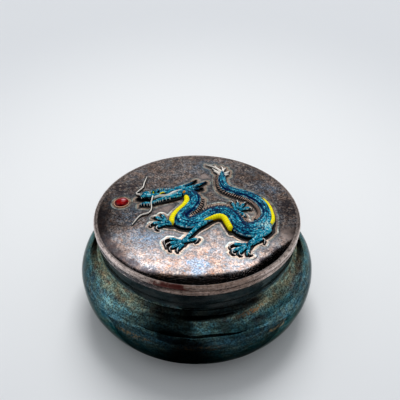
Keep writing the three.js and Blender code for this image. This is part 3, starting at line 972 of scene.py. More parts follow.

# %% [markdown]
# ## Small features of the head
# The face is read from a few sharp accents: pale teeth and a pale fringe under the jaw, a yellow eye
# in a dark lid, and a spot of orange behind the cheek. Each is a tiny stroke or knob of its own colour.
# A dark stroke below the jaw is painted shade: it stands in for the jaw's shadow.

# %% Head details
TEETH = [(-19.9, 6.9), (-19.0, 6.8), (-18.1, 6.7), (-17.2, 6.6)]
LOWER_TEETH = [(-19.8, 3.5), (-18.8, 3.3), (-17.7, 3.2), (-16.8, 3.0)]
BEARD = [
    (-15.2, 3.9, 0.40), (-14.5, 4.2, 0.25), (-13.6, 4.5, 0.35), (-13.0, 4.7, 0.20),
    (-12.2, 5.0, 0.30), (-10.9, 5.4, 0.15), (-9.6, 5.8, 0.25), (-8.1, 6.4, 0.15),
]


def tooth(x, y, drop, lean):
    """A pointed peg that starts high on the lip and drops towards the ground."""
    return stroke([[x, y, 0.46, 1.35], [x + lean, y - drop, 0.16, 1.0]], 0.12, 8, ground=None)


def lock(x, y, size):
    """A lock of the beard: it hangs from the jaw, size millimetres long, and ends in a point."""
    rows = [[x + 0.1, y + 0.1, 0.34, 1.35], [x, y - size * 0.5, 0.28, 1.15], [x, y - size, 0.12, 0.9]]
    return stroke(rows, 0.12, 8, ground=None)


teeth = join([tooth(x, y, 0.5, 0.3) for x, y in TEETH] + [tooth(x, y, 0.4, 0.2) for x, y in LOWER_TEETH])
beard = join([lock(x, y, size) for x, y, size in BEARD])
# The jaw shadow is a dark stroke that stands for the shadow under the jaw.
jaw_shadow = stroke(JAW_SHADOW, 0.3, 10, ground=None)
eye_rim = knob(-12.2, 8.3, 0.75, 1.95, 0.0, 1.9, 8)
nostril = knob(-19.5, 8.2, 0.3, 1.85, 0.0, 1.3, 30)
eye_lid_and_jaw_shadow = join([eye_rim, nostril, jaw_shadow])
brow_spot = knob(-15.6, 9.2, 0.26, 1.9, 0.5, 1.2, 0)
eye = join([knob(-12.3, 8.3, 0.50, 2.1, 0.5, 2.8, 10), brow_spot])
ear_spot = knob(-4.6, 8.9, 0.48, 1.95, 0.5, 1.6, 10)
print("teeth and beard:", len(teeth["points"]) + len(beard["points"]), "points")

# %% [markdown]
# ## Finish: tarnished silver on the lid
# Old silver that is handled keeps its shine but goes brown and grey, with thin bluish films where the
# tarnish is a little thicker. The base colour runs from warm brown to grey by a slow noise. A film
# breaks it into fine flecks of straw and blue. The ground beside the figure is paler. Next to the figure
# the colour is nearly black: patina in the hollows together with painted shade, and a painted shadow
# along the figure's front side and beside the whiskers. The front edge carries a painted dark
# reflection, and the mouldings a painted highlight on top of the roll and painted shade below it.

# %% Places and patches
PATCH_TEAR = 16


def parts_of(vector):
    """The three parts of a vector."""
    outputs = node(vector.tree, "ShaderNodeSeparateXYZ", None, vector).socket.node.outputs
    return [Wire(vector.tree, output) for output in outputs]


def split(place):
    """The three parts of a place, in millimetres."""
    return [part / MM for part in parts_of(place)]


def distance(x, y, cx, cy):
    """Distance from the upright line through (cx, cy)."""
    return ((x - cx) ** 2 + (y - cy) ** 2) ** 0.5


def rings_of(x, y, height, round_by, up_by):
    """Streaks that follow the turning: a noise on the angle about the axis, stretched along it, and
    on the height."""
    place = node(x.tree, "ShaderNodeCombineXYZ", None, y.angle(x) * round_by, height * up_by, 0.0)
    return noise(place, 1.0, 4.0, 0.65, unit=1)


def patches(x, y, ragged, spots):
    """1 inside any of the round spots (x, y, radius), fading outwards, with an edge torn by a noise."""
    cover = None
    for cx, cy, size in spots:
        reach = distance(x, y, cx, cy) + (ragged - 0.5) * PATCH_TEAR
        here = reach.step(size, size * 0.3)
        cover = here if cover is None else cover.max(here)
    return cover


# %% Lid silver
BLUE_PATCHES = [(-17, -13, 8), (0, -27, 5), (24, 15, 6), (-24, -2, 6), (3, 27, 8), (-2, 5, 5)]
# The last dark patch, at the right front, is a painted dark reflection.
DARK_PATCHES = [(-25, 15, 8), (-34, 3, 9), (34, 4, 7), (22, 22, 6), (26, -28, 4)]
PALE_PATCHES = [(32, -10, 5), (2, 20, 4), (19, -2.5, 4), (-12, 0, 5)]
SOOT_PATCHES = [(-17, -30, 6), (33, 5, 7), (-27, 14, 6), (20, 28, 5)]
SHADED_RIM_SPOT = [(-22, -29, 13)]
RED_STREAK = [(-12, -35, 4), (-7, -37, 4)]

LID_BROWN = (0.170, 0.130, 0.115)
LID_GREY = (0.285, 0.250, 0.242)
LID_BLUE = (0.130, 0.185, 0.250)
LID_DARK = (0.060, 0.050, 0.046)
LID_SLATE = (0.085, 0.088, 0.098)
DARK_SMEAR = (0.075, 0.060, 0.056)
PALE_SMEAR = (0.360, 0.300, 0.250)
STEEL_FLECK = (0.075, 0.120, 0.165)
COPPER_FLECK = (0.300, 0.150, 0.090)
BLACK_FLECK = (0.040, 0.032, 0.036)
DARK_EDGE_REFLECTION = (0.030, 0.022, 0.026)
RUBBED_PALE = (0.520, 0.410, 0.370)
SOOT = (0.040, 0.034, 0.040)
GROUND_PALE = (0.640, 0.470, 0.350)
OUTLINE_PAINTED_HIGHLIGHT = (0.440, 0.560, 0.500)
OUTLINE_SHADE = (0.075, 0.105, 0.130)
CREASE_PATINA_AND_SHADE = (0.004, 0.003, 0.004)
RIM_PALE = (0.66, 0.53, 0.48)
RIM_BROWN = (0.42, 0.33, 0.29)
RIM_DULL_SHADE = (0.085, 0.075, 0.080)
RIM_UNDER_SHADE_RIGHT = (0.060, 0.056, 0.062)
RIM_UNDER_SHADE_LEFT = (0.075, 0.088, 0.105)
RIM_GLINT_LEFT = (0.900, 0.780, 0.740)
RIM_GLINT_RIGHT = (0.950, 0.800, 0.720)
RIM_SPECK = (0.080, 0.055, 0.050)
DARK_SCRATCH = (0.110, 0.080, 0.075)
PALE_SCRATCH = (0.900, 0.760, 0.700)
RED_TARNISH = (0.110, 0.008, 0.006)
DOME_EDGE_PALE = (0.240, 0.190, 0.175)
DOME_EDGE_DARK = (0.070, 0.055, 0.050)
GROOVE_BLACK = (0.010, 0.010, 0.012)
GROOVE_Z = 38.2


def lid_silver():
    """Tarnished silver. First the sheet: brown and grey clouds, patches, smears and a flecked film,
    stronger on the back half, with a painted dark reflection along the front edge. Then the chased
    ground beside the figure, its pale outline painted as a highlight, and black next to the figure:
    patina with painted shade, and a painted shadow on the figure's front side and beside the whiskers.
    Last the scratched rim, with a painted highlight on top of the roll and painted shade below it, and a
    black groove between roll and bead."""
    material, tree, shader, place = fresh_material("tarnished_silver")
    x, y, height = split(place)
    radius = (x * x + y * y) ** 0.5
    far = y.step(-14, -2)
    cloud = noise(place, 0.07, 4, 0.62)
    blotch = noise(place, 0.30, 5, 0.68)
    smear = noise(place, 0.55, 4, 0.7)
    fleck = noise(place, 0.95, 3, 0.72)
    speck = noise(place, 1.25, 3, 0.75)

    def spots(places):
        return patches(x, y, blotch, places)

    colour = layers(
        mix(cloud.step(0.36, 0.64), LID_BROWN, LID_GREY),
        (spots(BLUE_PATCHES) * 0.75, LID_BLUE),
        (spots(DARK_PATCHES) * 0.70, LID_DARK),
        (smear.step(0.50, 0.60) * (0.45 + far * 0.25), DARK_SMEAR),
        (smear.step(0.47, 0.38) * (0.40 + far * 0.25), PALE_SMEAR),
        (blotch.step(0.52, 0.64) * 0.50, LID_SLATE),
    )
    straw = mix(far, (1.12, 1.0, 0.93), (1.12, 0.99, 0.90))
    blue = mix(far, (0.88, 1.0, 1.10), (0.90, 1.0, 1.09))
    # edge, edge_left and edge_right mask a painted dark reflection along the front edge of the dome.
    edge = (radius + (blotch - 0.5) * 14).step(30.5, 32.5)
    edge_left = x.step(-12, -20) * y.step(8, 0) * 0.74
    edge_right = (x - 24).abs().step(6, 3) * y.step(-14, -19) * 0.80
    colour = layers(
        film(place, 0.75, colour, straw, blue, 0.42 + far * 0.42),
        (fleck.step(0.60, 0.66) * 0.75, STEEL_FLECK),
        (fleck.step(0.40, 0.35) * 0.70, COPPER_FLECK),
        (speck.step(0.61, 0.67) * 0.75, BLACK_FLECK),
        (edge * edge_left.max(edge_right), DARK_EDGE_REFLECTION),
        (spots(PALE_PATCHES) * 0.75, RUBBED_PALE),
        (spots(SOOT_PATCHES) * smear.step(0.42, 0.52) * 0.9, SOOT),
    )

    halo = mark(tree, "halo_away")
    torn = 1 - (smear.step(0.47, 0.57) * 0.80).max(speck.step(0.52, 0.62) * 0.6)
    shown = torn * (0.48 + far * 0.20)
    # Black next to the figure: patina in its hollows with painted shade, painted shadow on its front side
    # (front_away) and a painted shadow line beside the whiskers (wire_away).
    crease_patina_and_shade = mark(tree, "away").step(0.35, 0.10).max(mark(tree, "wire_away").step(0.62, 0.35) * 0.9)
    crease_patina_and_shade = crease_patina_and_shade.max(mark(tree, "deep_away").step(0.50, 0.25))
    crease_patina_and_shade = crease_patina_and_shade.max(mark(tree, "front_away").step(0.38, 0.12))
    colour = layers(
        colour,
        (halo.step(1.20, 1.45) * halo.step(2.8, 1.6) * 0.50, OUTLINE_SHADE),
        (halo.step(1.00, 0.80) * shown, GROUND_PALE),
        # A painted highlight along the step outside the chased ground.
        (halo.step(0.85, 1.00) * halo.step(1.40, 1.20) * shown, OUTLINE_PAINTED_HIGHLIGHT),
        (crease_patina_and_shade * 0.99, CREASE_PATINA_AND_SHADE),
    )

    rim = radius.step(34.9, 35.3)
    under = height.step(38.9, 38.5)
    over = height.step(38.7, 38.9)
    scratches = rings_of(x, y, height, 22.0, 2.4)
    rim_colour = layers(
        times(mix(cloud.step(0.38, 0.60), RIM_PALE, RIM_BROWN),
              mix(y.step(-26, -34), (1.0, 1.0, 1.0), (1.04, 0.92, 0.85))),
        # Below the top of the roll the rim is darkened as painted shade: a spot at the front left, and both
        # sides.
        (spots(SHADED_RIM_SPOT) * 0.75 * under, RIM_DULL_SHADE),
        (under * x.step(24, 34) * 0.50, RIM_UNDER_SHADE_RIGHT),
        (under * x.step(-6, -16) * 0.80, RIM_UNDER_SHADE_LEFT),
        # Painted highlights on top of the roll, left and right.
        (over * x.step(-10, -18) * 0.5, RIM_GLINT_LEFT),
        (over * x.step(20, 30) * 0.5, RIM_GLINT_RIGHT),
        (speck.step(0.52, 0.62) * 0.7, RIM_SPECK),
        (scratches.step(0.52, 0.62) * 0.6, DARK_SCRATCH),
        (scratches.step(0.46, 0.38) * 0.5, PALE_SCRATCH),
        (spots(RED_STREAK) * height.step(38.5, 38.9) * 0.92, RED_TARNISH),
    )
    dome_edge = radius.step(34.75, 34.95) * radius.step(35.75, 35.45) * (1 - y.step(-27, -33))
    colour = layers(
        colour,
        (rim, rim_colour),
        (dome_edge * 0.8, mix(speck.step(0.45, 0.55), DOME_EDGE_PALE, DOME_EDGE_DARK)),
        ((height - GROOVE_Z).abs().step(0.45, 0.20) * rim * 0.90, GROOVE_BLACK),
    )

    rough = 0.035 + speck.step(0.45, 0.72) * 0.04 + crease_patina_and_shade * 0.4 + rim * 0.12
    metal = 1.0 - dome_edge * 0.6 - crease_patina_and_shade * 0.8 - rim * y.step(-20, -34) * 0.35
    feed(tree, shader, Base_Color=colour, Metallic=metal, Roughness=rough,
         Normal=bump(speck, 0.03, 0.02))
    return material


lid_finish = lid_silver()

# %% [markdown]
# ## Finish: the darker, greener silver of the bowl
# The bowl has the thicker tarnish: deep teal with slate and olive clouds, a brown ring under the neck,
# and gold flecks low down. The films follow the turning of the bowl, so the noises are stretched
# sideways, and the height on the wall shifts the hue.

# %% Bowl silver
WORN_BELLY = [(-22, -34, 8), (1, -41, 10), (27, -32, 4), (20, 36, 9), (-36, 18, 8)]

TEAL_DARK = (0.035, 0.100, 0.118)
TEAL_PALE = (0.100, 0.215, 0.245)
BOWL_SLATE = (0.055, 0.080, 0.110)
BOWL_BLUE = (0.025, 0.060, 0.105)
LOW_DARK = (0.024, 0.078, 0.088)
LOW_PALE = (0.056, 0.106, 0.112)
OLIVE = (0.185, 0.215, 0.160)
OLIVE_BROWN = (0.105, 0.062, 0.030)
SIDE_SLATE = (0.110, 0.120, 0.145)
SHOULDER_DARK_REFLECTION = (0.004, 0.004, 0.005)
GOLD_STREAK = (0.300, 0.150, 0.055)
SWIRL_DARK_REFLECTION = (0.002, 0.004, 0.006)
NECK_DARK = (0.016, 0.022, 0.025)
NECK_PALE = (0.050, 0.055, 0.055)
WORN_GOLD = (0.560, 0.370, 0.180)
INSIDE_DARK = (0.42, 0.38, 0.34)
INSIDE_PALE = (0.62, 0.60, 0.57)


def bowl_silver():
    """Teal tarnish by height zones and stretched noise, under a film that follows the turning, darker
    towards the bottom as a painted reflection of the shaded floor. Over it lie a painted dark reflection
    on the front of the shoulder under the lid, a gold streak there, a black painted reflection lower on
    the front, the dark neck, worn gold on the belly, and the cleaner silver of the inside."""
    material, tree, shader, place = fresh_material("dark_silver")
    x, y, height = split(place)
    radius = (x * x + y * y) ** 0.5
    stretched = node(tree, "ShaderNodeMapping", None, place, Scale=(1.0, 1.0, 2.6))
    cloud = noise(stretched, 0.06, 4, 0.6)
    band = noise(stretched, 0.16, 5, 0.65)
    speck = noise(place, 0.95, 4, 0.8)

    olive = height.step(24.6, 26.8) * height.step(30.0, 28.6) * (0.35 + 0.65 * x.abs().step(12, 26))
    # Below the belly the colour is darker, a painted reflection of the shaded floor under the bowl.
    colour = layers(
        mix(cloud.step(0.36, 0.64), TEAL_DARK, TEAL_PALE),
        (band.step(0.52, 0.66) * 0.6, BOWL_SLATE),
        (height.step(22.5, 20.0) * band.step(0.62, 0.45) * 0.5, BOWL_BLUE),
        (height.step(19.0, 15.5) * 0.88, mix(band.step(0.42, 0.58), LOW_DARK, LOW_PALE)),
        (olive * 0.80, mix(band.step(0.48, 0.66), OLIVE, OLIVE_BROWN)),
        (x.abs().step(30, 40) * height.step(25.5, 22) * 0.45, SIDE_SLATE),
    )
    turned_lines = rings_of(x, y, height, 5.0, 0.9)
    colour = times(colour, 0.62 + turned_lines.step(0.36, 0.64) * 0.76)

    front = y.step(0, -10)
    # Black on the front of the shoulder under the lid: a painted dark reflection with the lid's shade.
    shoulder_dark_reflection = (height - x.step(0, 8) * 0.8).step(25.9, 26.5) * height.step(31, 29) * front
    shoulder_dark_reflection = shoulder_dark_reflection * x.step(-8, -3) * x.step(27, 19)
    streak = ((x - 18) ** 2 * 0.010 + (height - 26.2 - (x - 18) * 0.05) ** 2) ** 0.5
    # A black swirl on the front of the bowl: a painted dark reflection.
    swirl = ((x + 8) ** 2 * 0.22 + (height - 21.3) ** 2 + (band - 0.5) * 16) ** 0.5
    neck = height.step(28.8, 30.0)
    worn = height.step(16.4, 17.4) * height.step(19.2, 18.2) * speck.step(0.49, 0.56)
    colour = layers(
        film(place, 0.9, colour, (1.30, 1.03, 0.84), (0.86, 1.0, 1.03), 0.66),
        (shoulder_dark_reflection * 0.9, SHOULDER_DARK_REFLECTION),
        (streak.step(0.7, 0.3) * front * speck.step(0.42, 0.54) * 0.8, GOLD_STREAK),
        (swirl.step(3.0, 2.0) * front * 0.85, SWIRL_DARK_REFLECTION),
        (neck * 0.90, mix(band.step(0.4, 0.6), NECK_DARK, NECK_PALE)),
        (worn * patches(x, y, cloud, WORN_BELLY) * 0.80, WORN_GOLD),
        (radius.step(34.2, 33.6) * height.step(1.9, 2.1), mix(cloud, INSIDE_DARK, INSIDE_PALE)),
    )

    rough = 0.06 + speck.step(0.42, 0.70) * 0.07
    metal = 1.0 - x.abs().step(37, 41) * 0.40 - neck * 0.25
    feed(tree, shader, Base_Color=colour, Metallic=metal, Roughness=rough, Normal=bump(speck, 0.15, 0.02),
         Specular_Tint=(0.40, 0.43, 0.42), Specular_IOR_Level=0.05)
    return material


bowl_finish = bowl_silver()

# %% [markdown]
# ## Finish: rubbed silver wires
# Claws, whiskers and the tuft stand highest and are rubbed by every hand, so the metal is pale and
# warm on top, and that pale top is also a painted highlight. Their foot is painted black as shade. The
# rise mark says where the top is. The shader takes it as a pale satin coat, because a true metal this
# thin would mostly mirror the dark.

# %% Bright silver
WIRE_BLACK_AND_FOOT_SHADE = (0.012, 0.008, 0.007)
WIRE_SPECK = (0.30, 0.20, 0.15)


def bright_silver(name, crest, low, high):
    """Satin metal of the crest colour, partly a painted highlight, black as painted shade at the foot up to
    the rise low, clear from high on.
    """
    material, tree, shader, place = fresh_material(name)
    speck = noise(place, 1.6, 3, 0.7)
    # Pale crest: rubbed silver and painted highlight. Black below the rise low: painted shade. Strokes of low
    # tone, such as the spines' fringe, are black all over.
    bare = mark(tree, "rise").step(low, high) * mark(tree, "tone").step(0.1, 0.4)
    colour = layers(mix(bare, WIRE_BLACK_AND_FOOT_SHADE, crest), (bare * speck.step(0.58, 0.70) * 0.3, WIRE_SPECK))
    feed(tree, shader, Base_Color=colour, Metallic=0.0, Roughness=0.34 + speck * 0.18,
         Normal=bump(speck, 0.2, 0.02), Specular_IOR_Level=0.2)
    return material


bright_finish = bright_silver("bright_silver", (1.0, 0.95, 0.88), 0.15, 0.45)
claw_finish = bright_silver("claw_silver", (0.90, 0.86, 0.82), 0.80, 0.97)
spine_finish = bright_silver("spine_silver", (0.80, 0.56, 0.46), 0.60, 0.95)
collar_finish = bright_silver("collar_silver", (0.80, 0.46, 0.30), 0.05, 0.30)

# %% [markdown]
# ## Finish: enamel over the chased relief
# Transparent blue enamel runs off the high places and pools in the low ones, so crests look cyan or
# even show white silver, and grooves look navy. The rise mark gives the height on the limb, the across
# mark its side, and a fine noise breaks the colour into the small dabs of a worn glaze.

# %% Blue enamel
RUMP = [(23.4, -8.8, 3.2)]

ENAMEL_INK = (0.000, 0.004, 0.035)
ENAMEL_NAVY = (0.000, 0.075, 0.155)
ENAMEL_TEAL = (0.002, 0.290, 0.460)
ENAMEL_SKY = (0.060, 0.560, 0.700)
ENAMEL_CYAN = (0.30, 0.84, 0.90)
ENAMEL_WHITE = (0.97, 1.00, 0.98)
ENAMEL_POOL = (0.000, 0.005, 0.045)
ENAMEL_SIDE = (0.000, 0.004, 0.045)
ENAMEL_BLACK_AND_FOOT_SHADE = (0.002, 0.003, 0.004)
RUMP_PAINTED_HIGHLIGHT = (0.60, 0.85, 0.80)
EDGE_LINE_AND_HIGHLIGHT = (0.62, 0.62, 0.52)


def blue_enamel(name, scaled):
    """Navy low on the limb, teal in the middle, cyan on the crest, and black at the very foot as painted
    shade. Brush streaks and threads follow the limb: noises on the distance along it and the place
    across it, several times finer across. Where the limb is scaled, the carved height shifts the level
    too, one flank is navy, a painted highlight of pale specks lies on the rump, and a pale line runs
    near each edge, an outline that is in part a painted highlight."""
    material, tree, shader, place = fresh_material(name)
    speck = noise(place, 1.60, 3, 0.75)
    dab = noise(place, 0.75, 4, 0.65)
    rise = mark(tree, "rise")
    across = mark(tree, "across")
    tone = mark(tree, "tone")
    along = mark(tree, "along")
    brush = node(tree, "ShaderNodeCombineXYZ", None, along * 0.32, across * 2.5, tone * 9.0)
    streak = noise(brush, 1.0, 3.0, 0.6, unit=1)
    fine = 7.0 if scaled else 3.4
    strands = node(tree, "ShaderNodeCombineXYZ", None, along * 0.9, across * fine, tone * 5.0)
    thread = noise(strands, 1.0, 2.0, 0.6, unit=1)

    level = 0.24 + rise * 0.30 + (streak - 0.5) * 2.0 + (dab - 0.5) * 0.9 + (tone - 0.5) * 0.55
    level = level + (mark(tree, "carved") * 3.0 if scaled else 0.08)
    colour = layers(
        mix(level.step(0.10, 0.40), ENAMEL_INK, ENAMEL_NAVY),
        (level.step(0.38, 0.78), ENAMEL_TEAL),
        (thread.step(0.54, 0.62) * level.step(0.25, 0.60) * 0.80, ENAMEL_SKY),
        (thread.step(0.46, 0.38) * 0.85, ENAMEL_INK),
        (speck.step(0.55, 0.62) * level.step(0.45, 0.75) * 0.9, ENAMEL_CYAN),
        (speck.step(0.58, 0.63) * level.step(0.55, 0.80) * 0.95, ENAMEL_WHITE),
        (speck.step(0.44, 0.36) * 0.80, ENAMEL_POOL),
    )
    # The foot of each limb is painted black as shade of the relief's undercut side; low-tone strokes too.
    foot = rise.step(0.56, 0.34)
    if scaled:
        x, y, _ = split(place)
        # A pale line near each edge of the body: an outline, and in part a painted highlight.
        edge_line_and_highlight = (across.abs() - 0.86).abs().step(0.05, 0.02) * dab.step(0.46, 0.60)
        colour = layers(
            colour,
            ((across - 0.62).abs().step(0.20, 0.08) * 0.85, ENAMEL_SIDE),
            # A painted highlight of pale specks on the rump.
            (patches(x, y, dab, RUMP) * speck.step(0.46, 0.56) * 0.8, RUMP_PAINTED_HIGHLIGHT),
            (edge_line_and_highlight * 0.6, EDGE_LINE_AND_HIGHLIGHT),
        )
        foot = rise.step(0.50, 0.28)
    colour = mix(foot.max(tone.step(0.20, 0.0)), colour, ENAMEL_BLACK_AND_FOOT_SHADE)
    feed(tree, shader, Base_Color=colour, Roughness=0.20 + speck * 0.2,
         Normal=bump(speck * 0.5 + streak * 0.5, 0.5, 0.08), Specular_IOR_Level=0.06)
    return material


scaled_blue = blue_enamel("blue_enamel_scaled", True)
plain_blue = blue_enamel("blue_enamel", False)

# %% [markdown]
# ## Finish: yellow, pale, dark and orange enamel
# The plates of the belly, the eye, the teeth and the small accents wear opaque glazes. They differ
# only in their colours, so one function makes them all: darkened to a deep tone at the foot as painted
# shade, bright on the crest, with worn flecks, and for the plates a browner yellow in the grooves.

# %% Opaque enamels
PLATE_GROOVE = (0.50, 0.25, 0.004)


def opaque_enamel(name, deep, bright, worn, rough=0.18, low=0.25, high=0.70, plated=0.0):
    """An opaque glaze: deep below the rise low, a painted shade at the foot, bright above high, with worn
    flecks. The grooves between plates are as brown as plated says."""
    material, tree, shader, place = fresh_material(name)
    speck = noise(place, 1.4, 3, 0.7)
    # The deep colour at the foot, below the rise low, is painted shade.
    colour = mix(mark(tree, "rise").step(low, high), deep, bright)
    colour = mix(speck.step(0.58, 0.72) * 0.5, colour, worn)
    if plated:
        colour = mix(mark(tree, "carved").step(0.01, -0.04) * plated, colour, PLATE_GROOVE)
    feed(tree, shader, Base_Color=colour, Roughness=rough + speck * 0.10,
         Normal=bump(speck, 0.15, 0.03), Specular_IOR_Level=0.15)
    return material


yellow_finish = opaque_enamel("yellow_enamel", (0.20, 0.09, 0.003), (1.0, 0.90, 0.001), (0.85, 0.46, 0.01),
                              low=0.20, high=0.48, plated=0.55)
tooth_finish = opaque_enamel("tooth_enamel", (0.10, 0.10, 0.11), (0.85, 0.84, 0.78), (0.35, 0.45, 0.5), 0.3)
dark_finish = opaque_enamel("dark_enamel_and_shade", (0.004, 0.004, 0.005), (0.012, 0.014, 0.016),
                            (0.03, 0.03, 0.03), 0.3)
orange_finish = opaque_enamel("orange_enamel", (0.12, 0.03, 0.01), (0.90, 0.33, 0.03), (0.95, 0.5, 0.15))

# %% [markdown]
# ## Finish: the red of the pearl
# Transparent red enamel over silver looks nearly black where it is seen at a slant and glows where the
# light comes straight back. Here that light and shade are painted: the colour darkens with the
# distance from the pearl's middle. A small pale highlight beside the middle is painted too.

# %% Red enamel
RED_RIM_SHADE = (0.045, 0.000, 0.001)
RED_MIDDLE = (0.260, 0.003, 0.005)
RED_FIRE = (0.420, 0.012, 0.008)
RED_PAINTED_HIGHLIGHT = (0.700, 0.360, 0.420)


def red_enamel():
    """Nearly black red at the rim as painted shade, fiery in the middle, with brighter clouds and one painted
    pale highlight.
    """
    material, tree, shader, place = fresh_material("red_enamel")
    speck = noise(place, 1.2, 3, 0.6)
    x, y, _ = split(place)
    pearl_highlight = ((x - PEARL_X - 0.7) ** 2 + (y - PEARL_Y - 0.3) ** 2 * 2) ** 0.5
    colour = layers(
        mix(distance(x, y, PEARL_X, PEARL_Y).step(2.5, 1.2), RED_RIM_SHADE, RED_MIDDLE),
        (speck.step(0.50, 0.68) * 0.6, RED_FIRE),
        (pearl_highlight.step(1.0, 0.3) * 0.8, RED_PAINTED_HIGHLIGHT),
    )
    feed(tree, shader, Base_Color=colour, Roughness=0.10, Normal=bump(speck, 0.1, 0.03),
         Specular_IOR_Level=0.15)
    return material


red_finish = red_enamel()

# %% [markdown]
# ## The pieces
# The finer surfaces take the places of the frame's four solids, which are hidden. Each new piece
# rides on the root body and wears its finish.

# %% Pieces
bowl_piece = make_piece("bowl", bowl, bowl_finish, sharp=50)
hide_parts("box_body")

lid_piece = make_piece("lid_shell", lid, lid_finish, sharp=50)
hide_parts("lid")
make_piece("lid_face", face, lid_finish, sharp=60)

body_piece = make_piece("dragon_body", body, scaled_blue, sharp=60)
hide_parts("dragon")

pearl_piece = make_piece("pearl", pearl, red_finish)
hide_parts("red_pearl")

for name, surface, finish, slot, sharp in (
    ("belly_plates", belly, yellow_finish, "enamel_yellow", 60),
    ("head", head, plain_blue, "enamel_blue", 60),
    ("legs", legs, plain_blue, "enamel_blue", 60),
    ("claws", claws, claw_finish, "silver_bright", 60),
    ("whiskers", whiskers, bright_finish, "silver_bright", 60),
    ("cheek_ridge", cheek_ridge, bright_finish, "silver_bright", 60),
    ("tail_tuft", tuft, bright_finish, "silver_bright", 60),
    ("spines", spine_row, spine_finish, "silver_bright", 60),
    ("pearl_collar", collar, collar_finish, "silver_bright", 40),
    ("teeth", teeth, tooth_finish, "silver_bright", 60),
    ("beard", beard, tooth_finish, "silver_bright", 60),
    ("eye_lid_and_jaw_shadow", eye_lid_and_jaw_shadow, dark_finish, "silver_dark", 40),
    ("eye", eye, yellow_finish, "enamel_yellow", 40),
    ("ear_spot", ear_spot, orange_finish, "enamel_yellow", 40),
):
    make_piece(name, surface, finish, sharp)

# %% [markdown]
# ## Floor and light
# The box stands on a plain pale table. Its colour is paler near the box and greyer away from it, a
# painted pool of light. The main light is a large soft panel high behind it, so that the shadow falls
# forwards. It is kept out of mirror reflections, which are planned on their own below.

# %% Floor
FLOOR_HALF = 3.0
FLOOR_BRIGHT_AT = 60
FLOOR_PALE = (0.90, 0.915, 0.93)
FLOOR_GREY = (0.715, 0.735, 0.765)


def flat(name, corners, material):
    """One four-sided sheet, its corners in metres and counterclockwise seen from above."""
    mesh = bpy.data.meshes.new(name)
    mesh.from_pydata(corners, [], [(0, 1, 2, 3)])
    mesh.materials.append(material)
    return in_scene(name, mesh)


floor_material, tree, shader, place = fresh_material("pale_table")
x, y, _ = split(place)
# The table's colour is paler near the box: a painted pool of light.
painted_glow_distance = (x * x + (y - FLOOR_BRIGHT_AT) ** 2) ** 0.5
feed(tree, shader, Base_Color=mix(painted_glow_distance.step(50, 178), FLOOR_PALE, FLOOR_GREY), Roughness=0.6,
     Specular_IOR_Level=0.2)
floor_corners = [(x * FLOOR_HALF, y * FLOOR_HALF, 0) for x, y in ((-1, -1), (1, -1), (1, 1), (-1, 1))]
floor = flat("floor", floor_corners, floor_material)

# %% Key light
# Azimuth 0 is straight behind the box, positive to the right. The panel faces the middle of the dome.
# One of area A that looks as bright as L needs a power of pi * A * L watts.
KEY_AZIMUTH = math.radians(6)
KEY_ELEVATION = math.radians(62)
KEY_DISTANCE = 2.5
KEY_WIDTH = 1.3
KEY_HEIGHT = 1.1
KEY_RADIANCE = 8.0

lamp = bpy.data.lights.new("key", "AREA")
lamp.shape = "RECTANGLE"
lamp.size = KEY_WIDTH
lamp.size_y = KEY_HEIGHT
lamp.energy = math.pi * KEY_WIDTH * KEY_HEIGHT * KEY_RADIANCE
key = in_scene("key", lamp)
key.location = (
    KEY_DISTANCE * math.cos(KEY_ELEVATION) * math.sin(KEY_AZIMUTH),
    KEY_DISTANCE * math.cos(KEY_ELEVATION) * math.cos(KEY_AZIMUTH),
    KEY_DISTANCE * math.sin(KEY_ELEVATION) + DOME_TOP_Z * MM,
)
key.rotation_euler = (KEY_ELEVATION - math.pi / 2, 0, -KEY_AZIMUTH)
key.visible_glossy = False
print("key light:", round(lamp.energy, 1), "W")

# %% [markdown]
# ## What the metal mirrors
# Polished metal shows its surroundings more than its own colour. The lid mirrors a bright soft panel
# behind the box, 45 to 57 degrees up, with darkness above it and a pale wall below. The panel's upper
# edge gives the crisp line across the front of the lid. The bowl mirrors the sides of the room, grey,
# and the dark end of the room behind the camera. The world shader paints this room by direction, for
# mirror rays alone.

# %% World
MIRROR_TINT = (0.97, 0.98, 1.0)
AMBIENT_TINT = (0.96, 0.98, 1.0)
AMBIENT = 0.50
BACKDROP = (0.74, 0.77, 0.80)
PANEL_TOP = 56.6
PANEL_GLOW = 4.25
WALL_GLOW = 0.60
DARKEST = 0.006

world = bpy.data.worlds.new("studio")
bpy.context.scene.world = world
world.use_nodes = True
tree = world.node_tree
tree.nodes.clear()
direction = node(tree, "ShaderNodeTexCoord", out=0)
to_side, to_back, up = parts_of(direction)
turn = to_side.angle(to_back) * (180 / math.pi)
lift = up.arcsine() * (180 / math.pi)
off_axis = turn.abs()
clutter = noise(direction, 2.6, 4.0, 0.6, unit=1)

# behind the box: the soft panel with its bowed upper edge, the wall below it, a grey ceiling
behind = off_axis.step(60, 40)
panel_turn = (turn + 1).abs()
panel_top = PANEL_TOP - panel_turn ** 2 * 0.012 - (panel_turn - 14).max(0) ** 2 * 0.12
past_top = lift - panel_top
panel_share = lift.step(40, 46) * 0.36 + lift.step(46, 54) * 0.64
soft_panel = past_top.step(0.3, -0.3) * panel_share * off_axis.step(25, 19) * PANEL_GLOW
overhead = lift.step(63, 69) * 0.9
wall = past_top.step(0.5, -10) * (1 - turn.step(-12, -20) * 0.65 - turn.step(12, 20) * 0.42) * WALL_GLOW

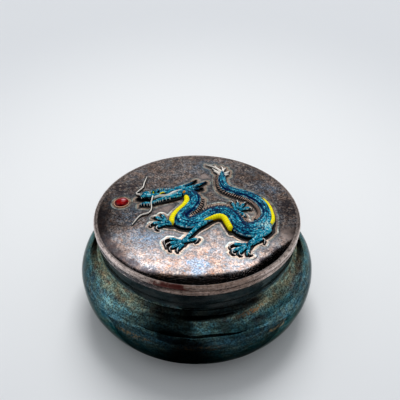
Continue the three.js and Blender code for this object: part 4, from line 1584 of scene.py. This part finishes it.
# behind the camera and at the sides: dark and grey walls above the edge of the table
front = off_axis.step(100, 125)
sides = (1 - behind) * (1 - front)
above_table = (lift - (12 * off_axis.step(125, 160) - 1)).above(0.0)
to_right = to_side.step(-0.12, 0.05)
front_left = off_axis.step(145, 122) * 0.16
camera_end = above_table * lift.step(66, 54) * (0.02 + 0.22 * to_right).max(front_left)
camera_end = camera_end * (0.5 + clutter.step(0.38, 0.62))
side_wall = above_table * lift.step(70, 50) * (0.42 + 0.4 * clutter.step(0.35, 0.65))
side_wall = side_wall * (1.25 - 0.4 * to_right)
level = behind * (soft_panel + wall + overhead) + front * camera_end + sides * side_wall + DARKEST

mirrored = node(tree, "ShaderNodeBackground", None, Color=MIRROR_TINT, Strength=level)
ambient = node(tree, "ShaderNodeBackground", None, Color=AMBIENT_TINT, Strength=AMBIENT)
backdrop = node(tree, "ShaderNodeBackground", None, Color=BACKDROP, Strength=1.0)
is_camera = node(tree, "ShaderNodeLightPath", out=0)
is_glossy = node(tree, "ShaderNodeLightPath", out=3)
blend = node(tree, "ShaderNodeMixShader", None, is_glossy, ambient, mirrored)
blend = node(tree, "ShaderNodeMixShader", None, is_camera, blend, backdrop)
output = tree.nodes.new("ShaderNodeOutputWorld")
tree.links.new(blend.socket, output.inputs["Surface"])
print("world:", len(tree.nodes), "nodes")

# %% [markdown]
# A dark card lies on the table in front of the box, black in the middle and grey towards its sides.
# It darkens the front of the shiny bowl. Only mirror rays see it.

# %% Dark card
CARD_Z = 0.0003
CARD_NEAR = 0.060
CARD_FAR = 0.75
CARD_BLACK = (0.005, 0.005, 0.006)
CARD_GREY = (0.250, 0.260, 0.270)

card_material, tree, shader, place = fresh_material("dark_card")
x, y, _ = split(place)
slant = x / (y.abs() + 30) + 0.06
feed(tree, shader, Base_Color=mix(slant.abs().step(0.06, 0.32), CARD_BLACK, CARD_GREY), Roughness=0.9)
card = flat("dark_card", [
    (-CARD_NEAR, -0.030, CARD_Z), (-CARD_FAR, -CARD_FAR, CARD_Z),
    (CARD_FAR, -CARD_FAR, CARD_Z), (CARD_NEAR, -0.030, CARD_Z),
], card_material)
card.visible_camera = False
card.visible_diffuse = False
card.visible_shadow = False

# %% [markdown]
# ## View and sizes
# The plain Standard view keeps the colours as the finishes state them. A helper gives a box's two
# corners as plain lists.

# %% View
view = bpy.context.scene.view_settings
view.view_transform = "Standard"
view.look = "None"
view.exposure = 0.0
view.gamma = 1.0

# %% Sizes
def corners(box):
    """The two corners of a box as plain lists."""
    return [[float(v) for v in corner] for corner in box]
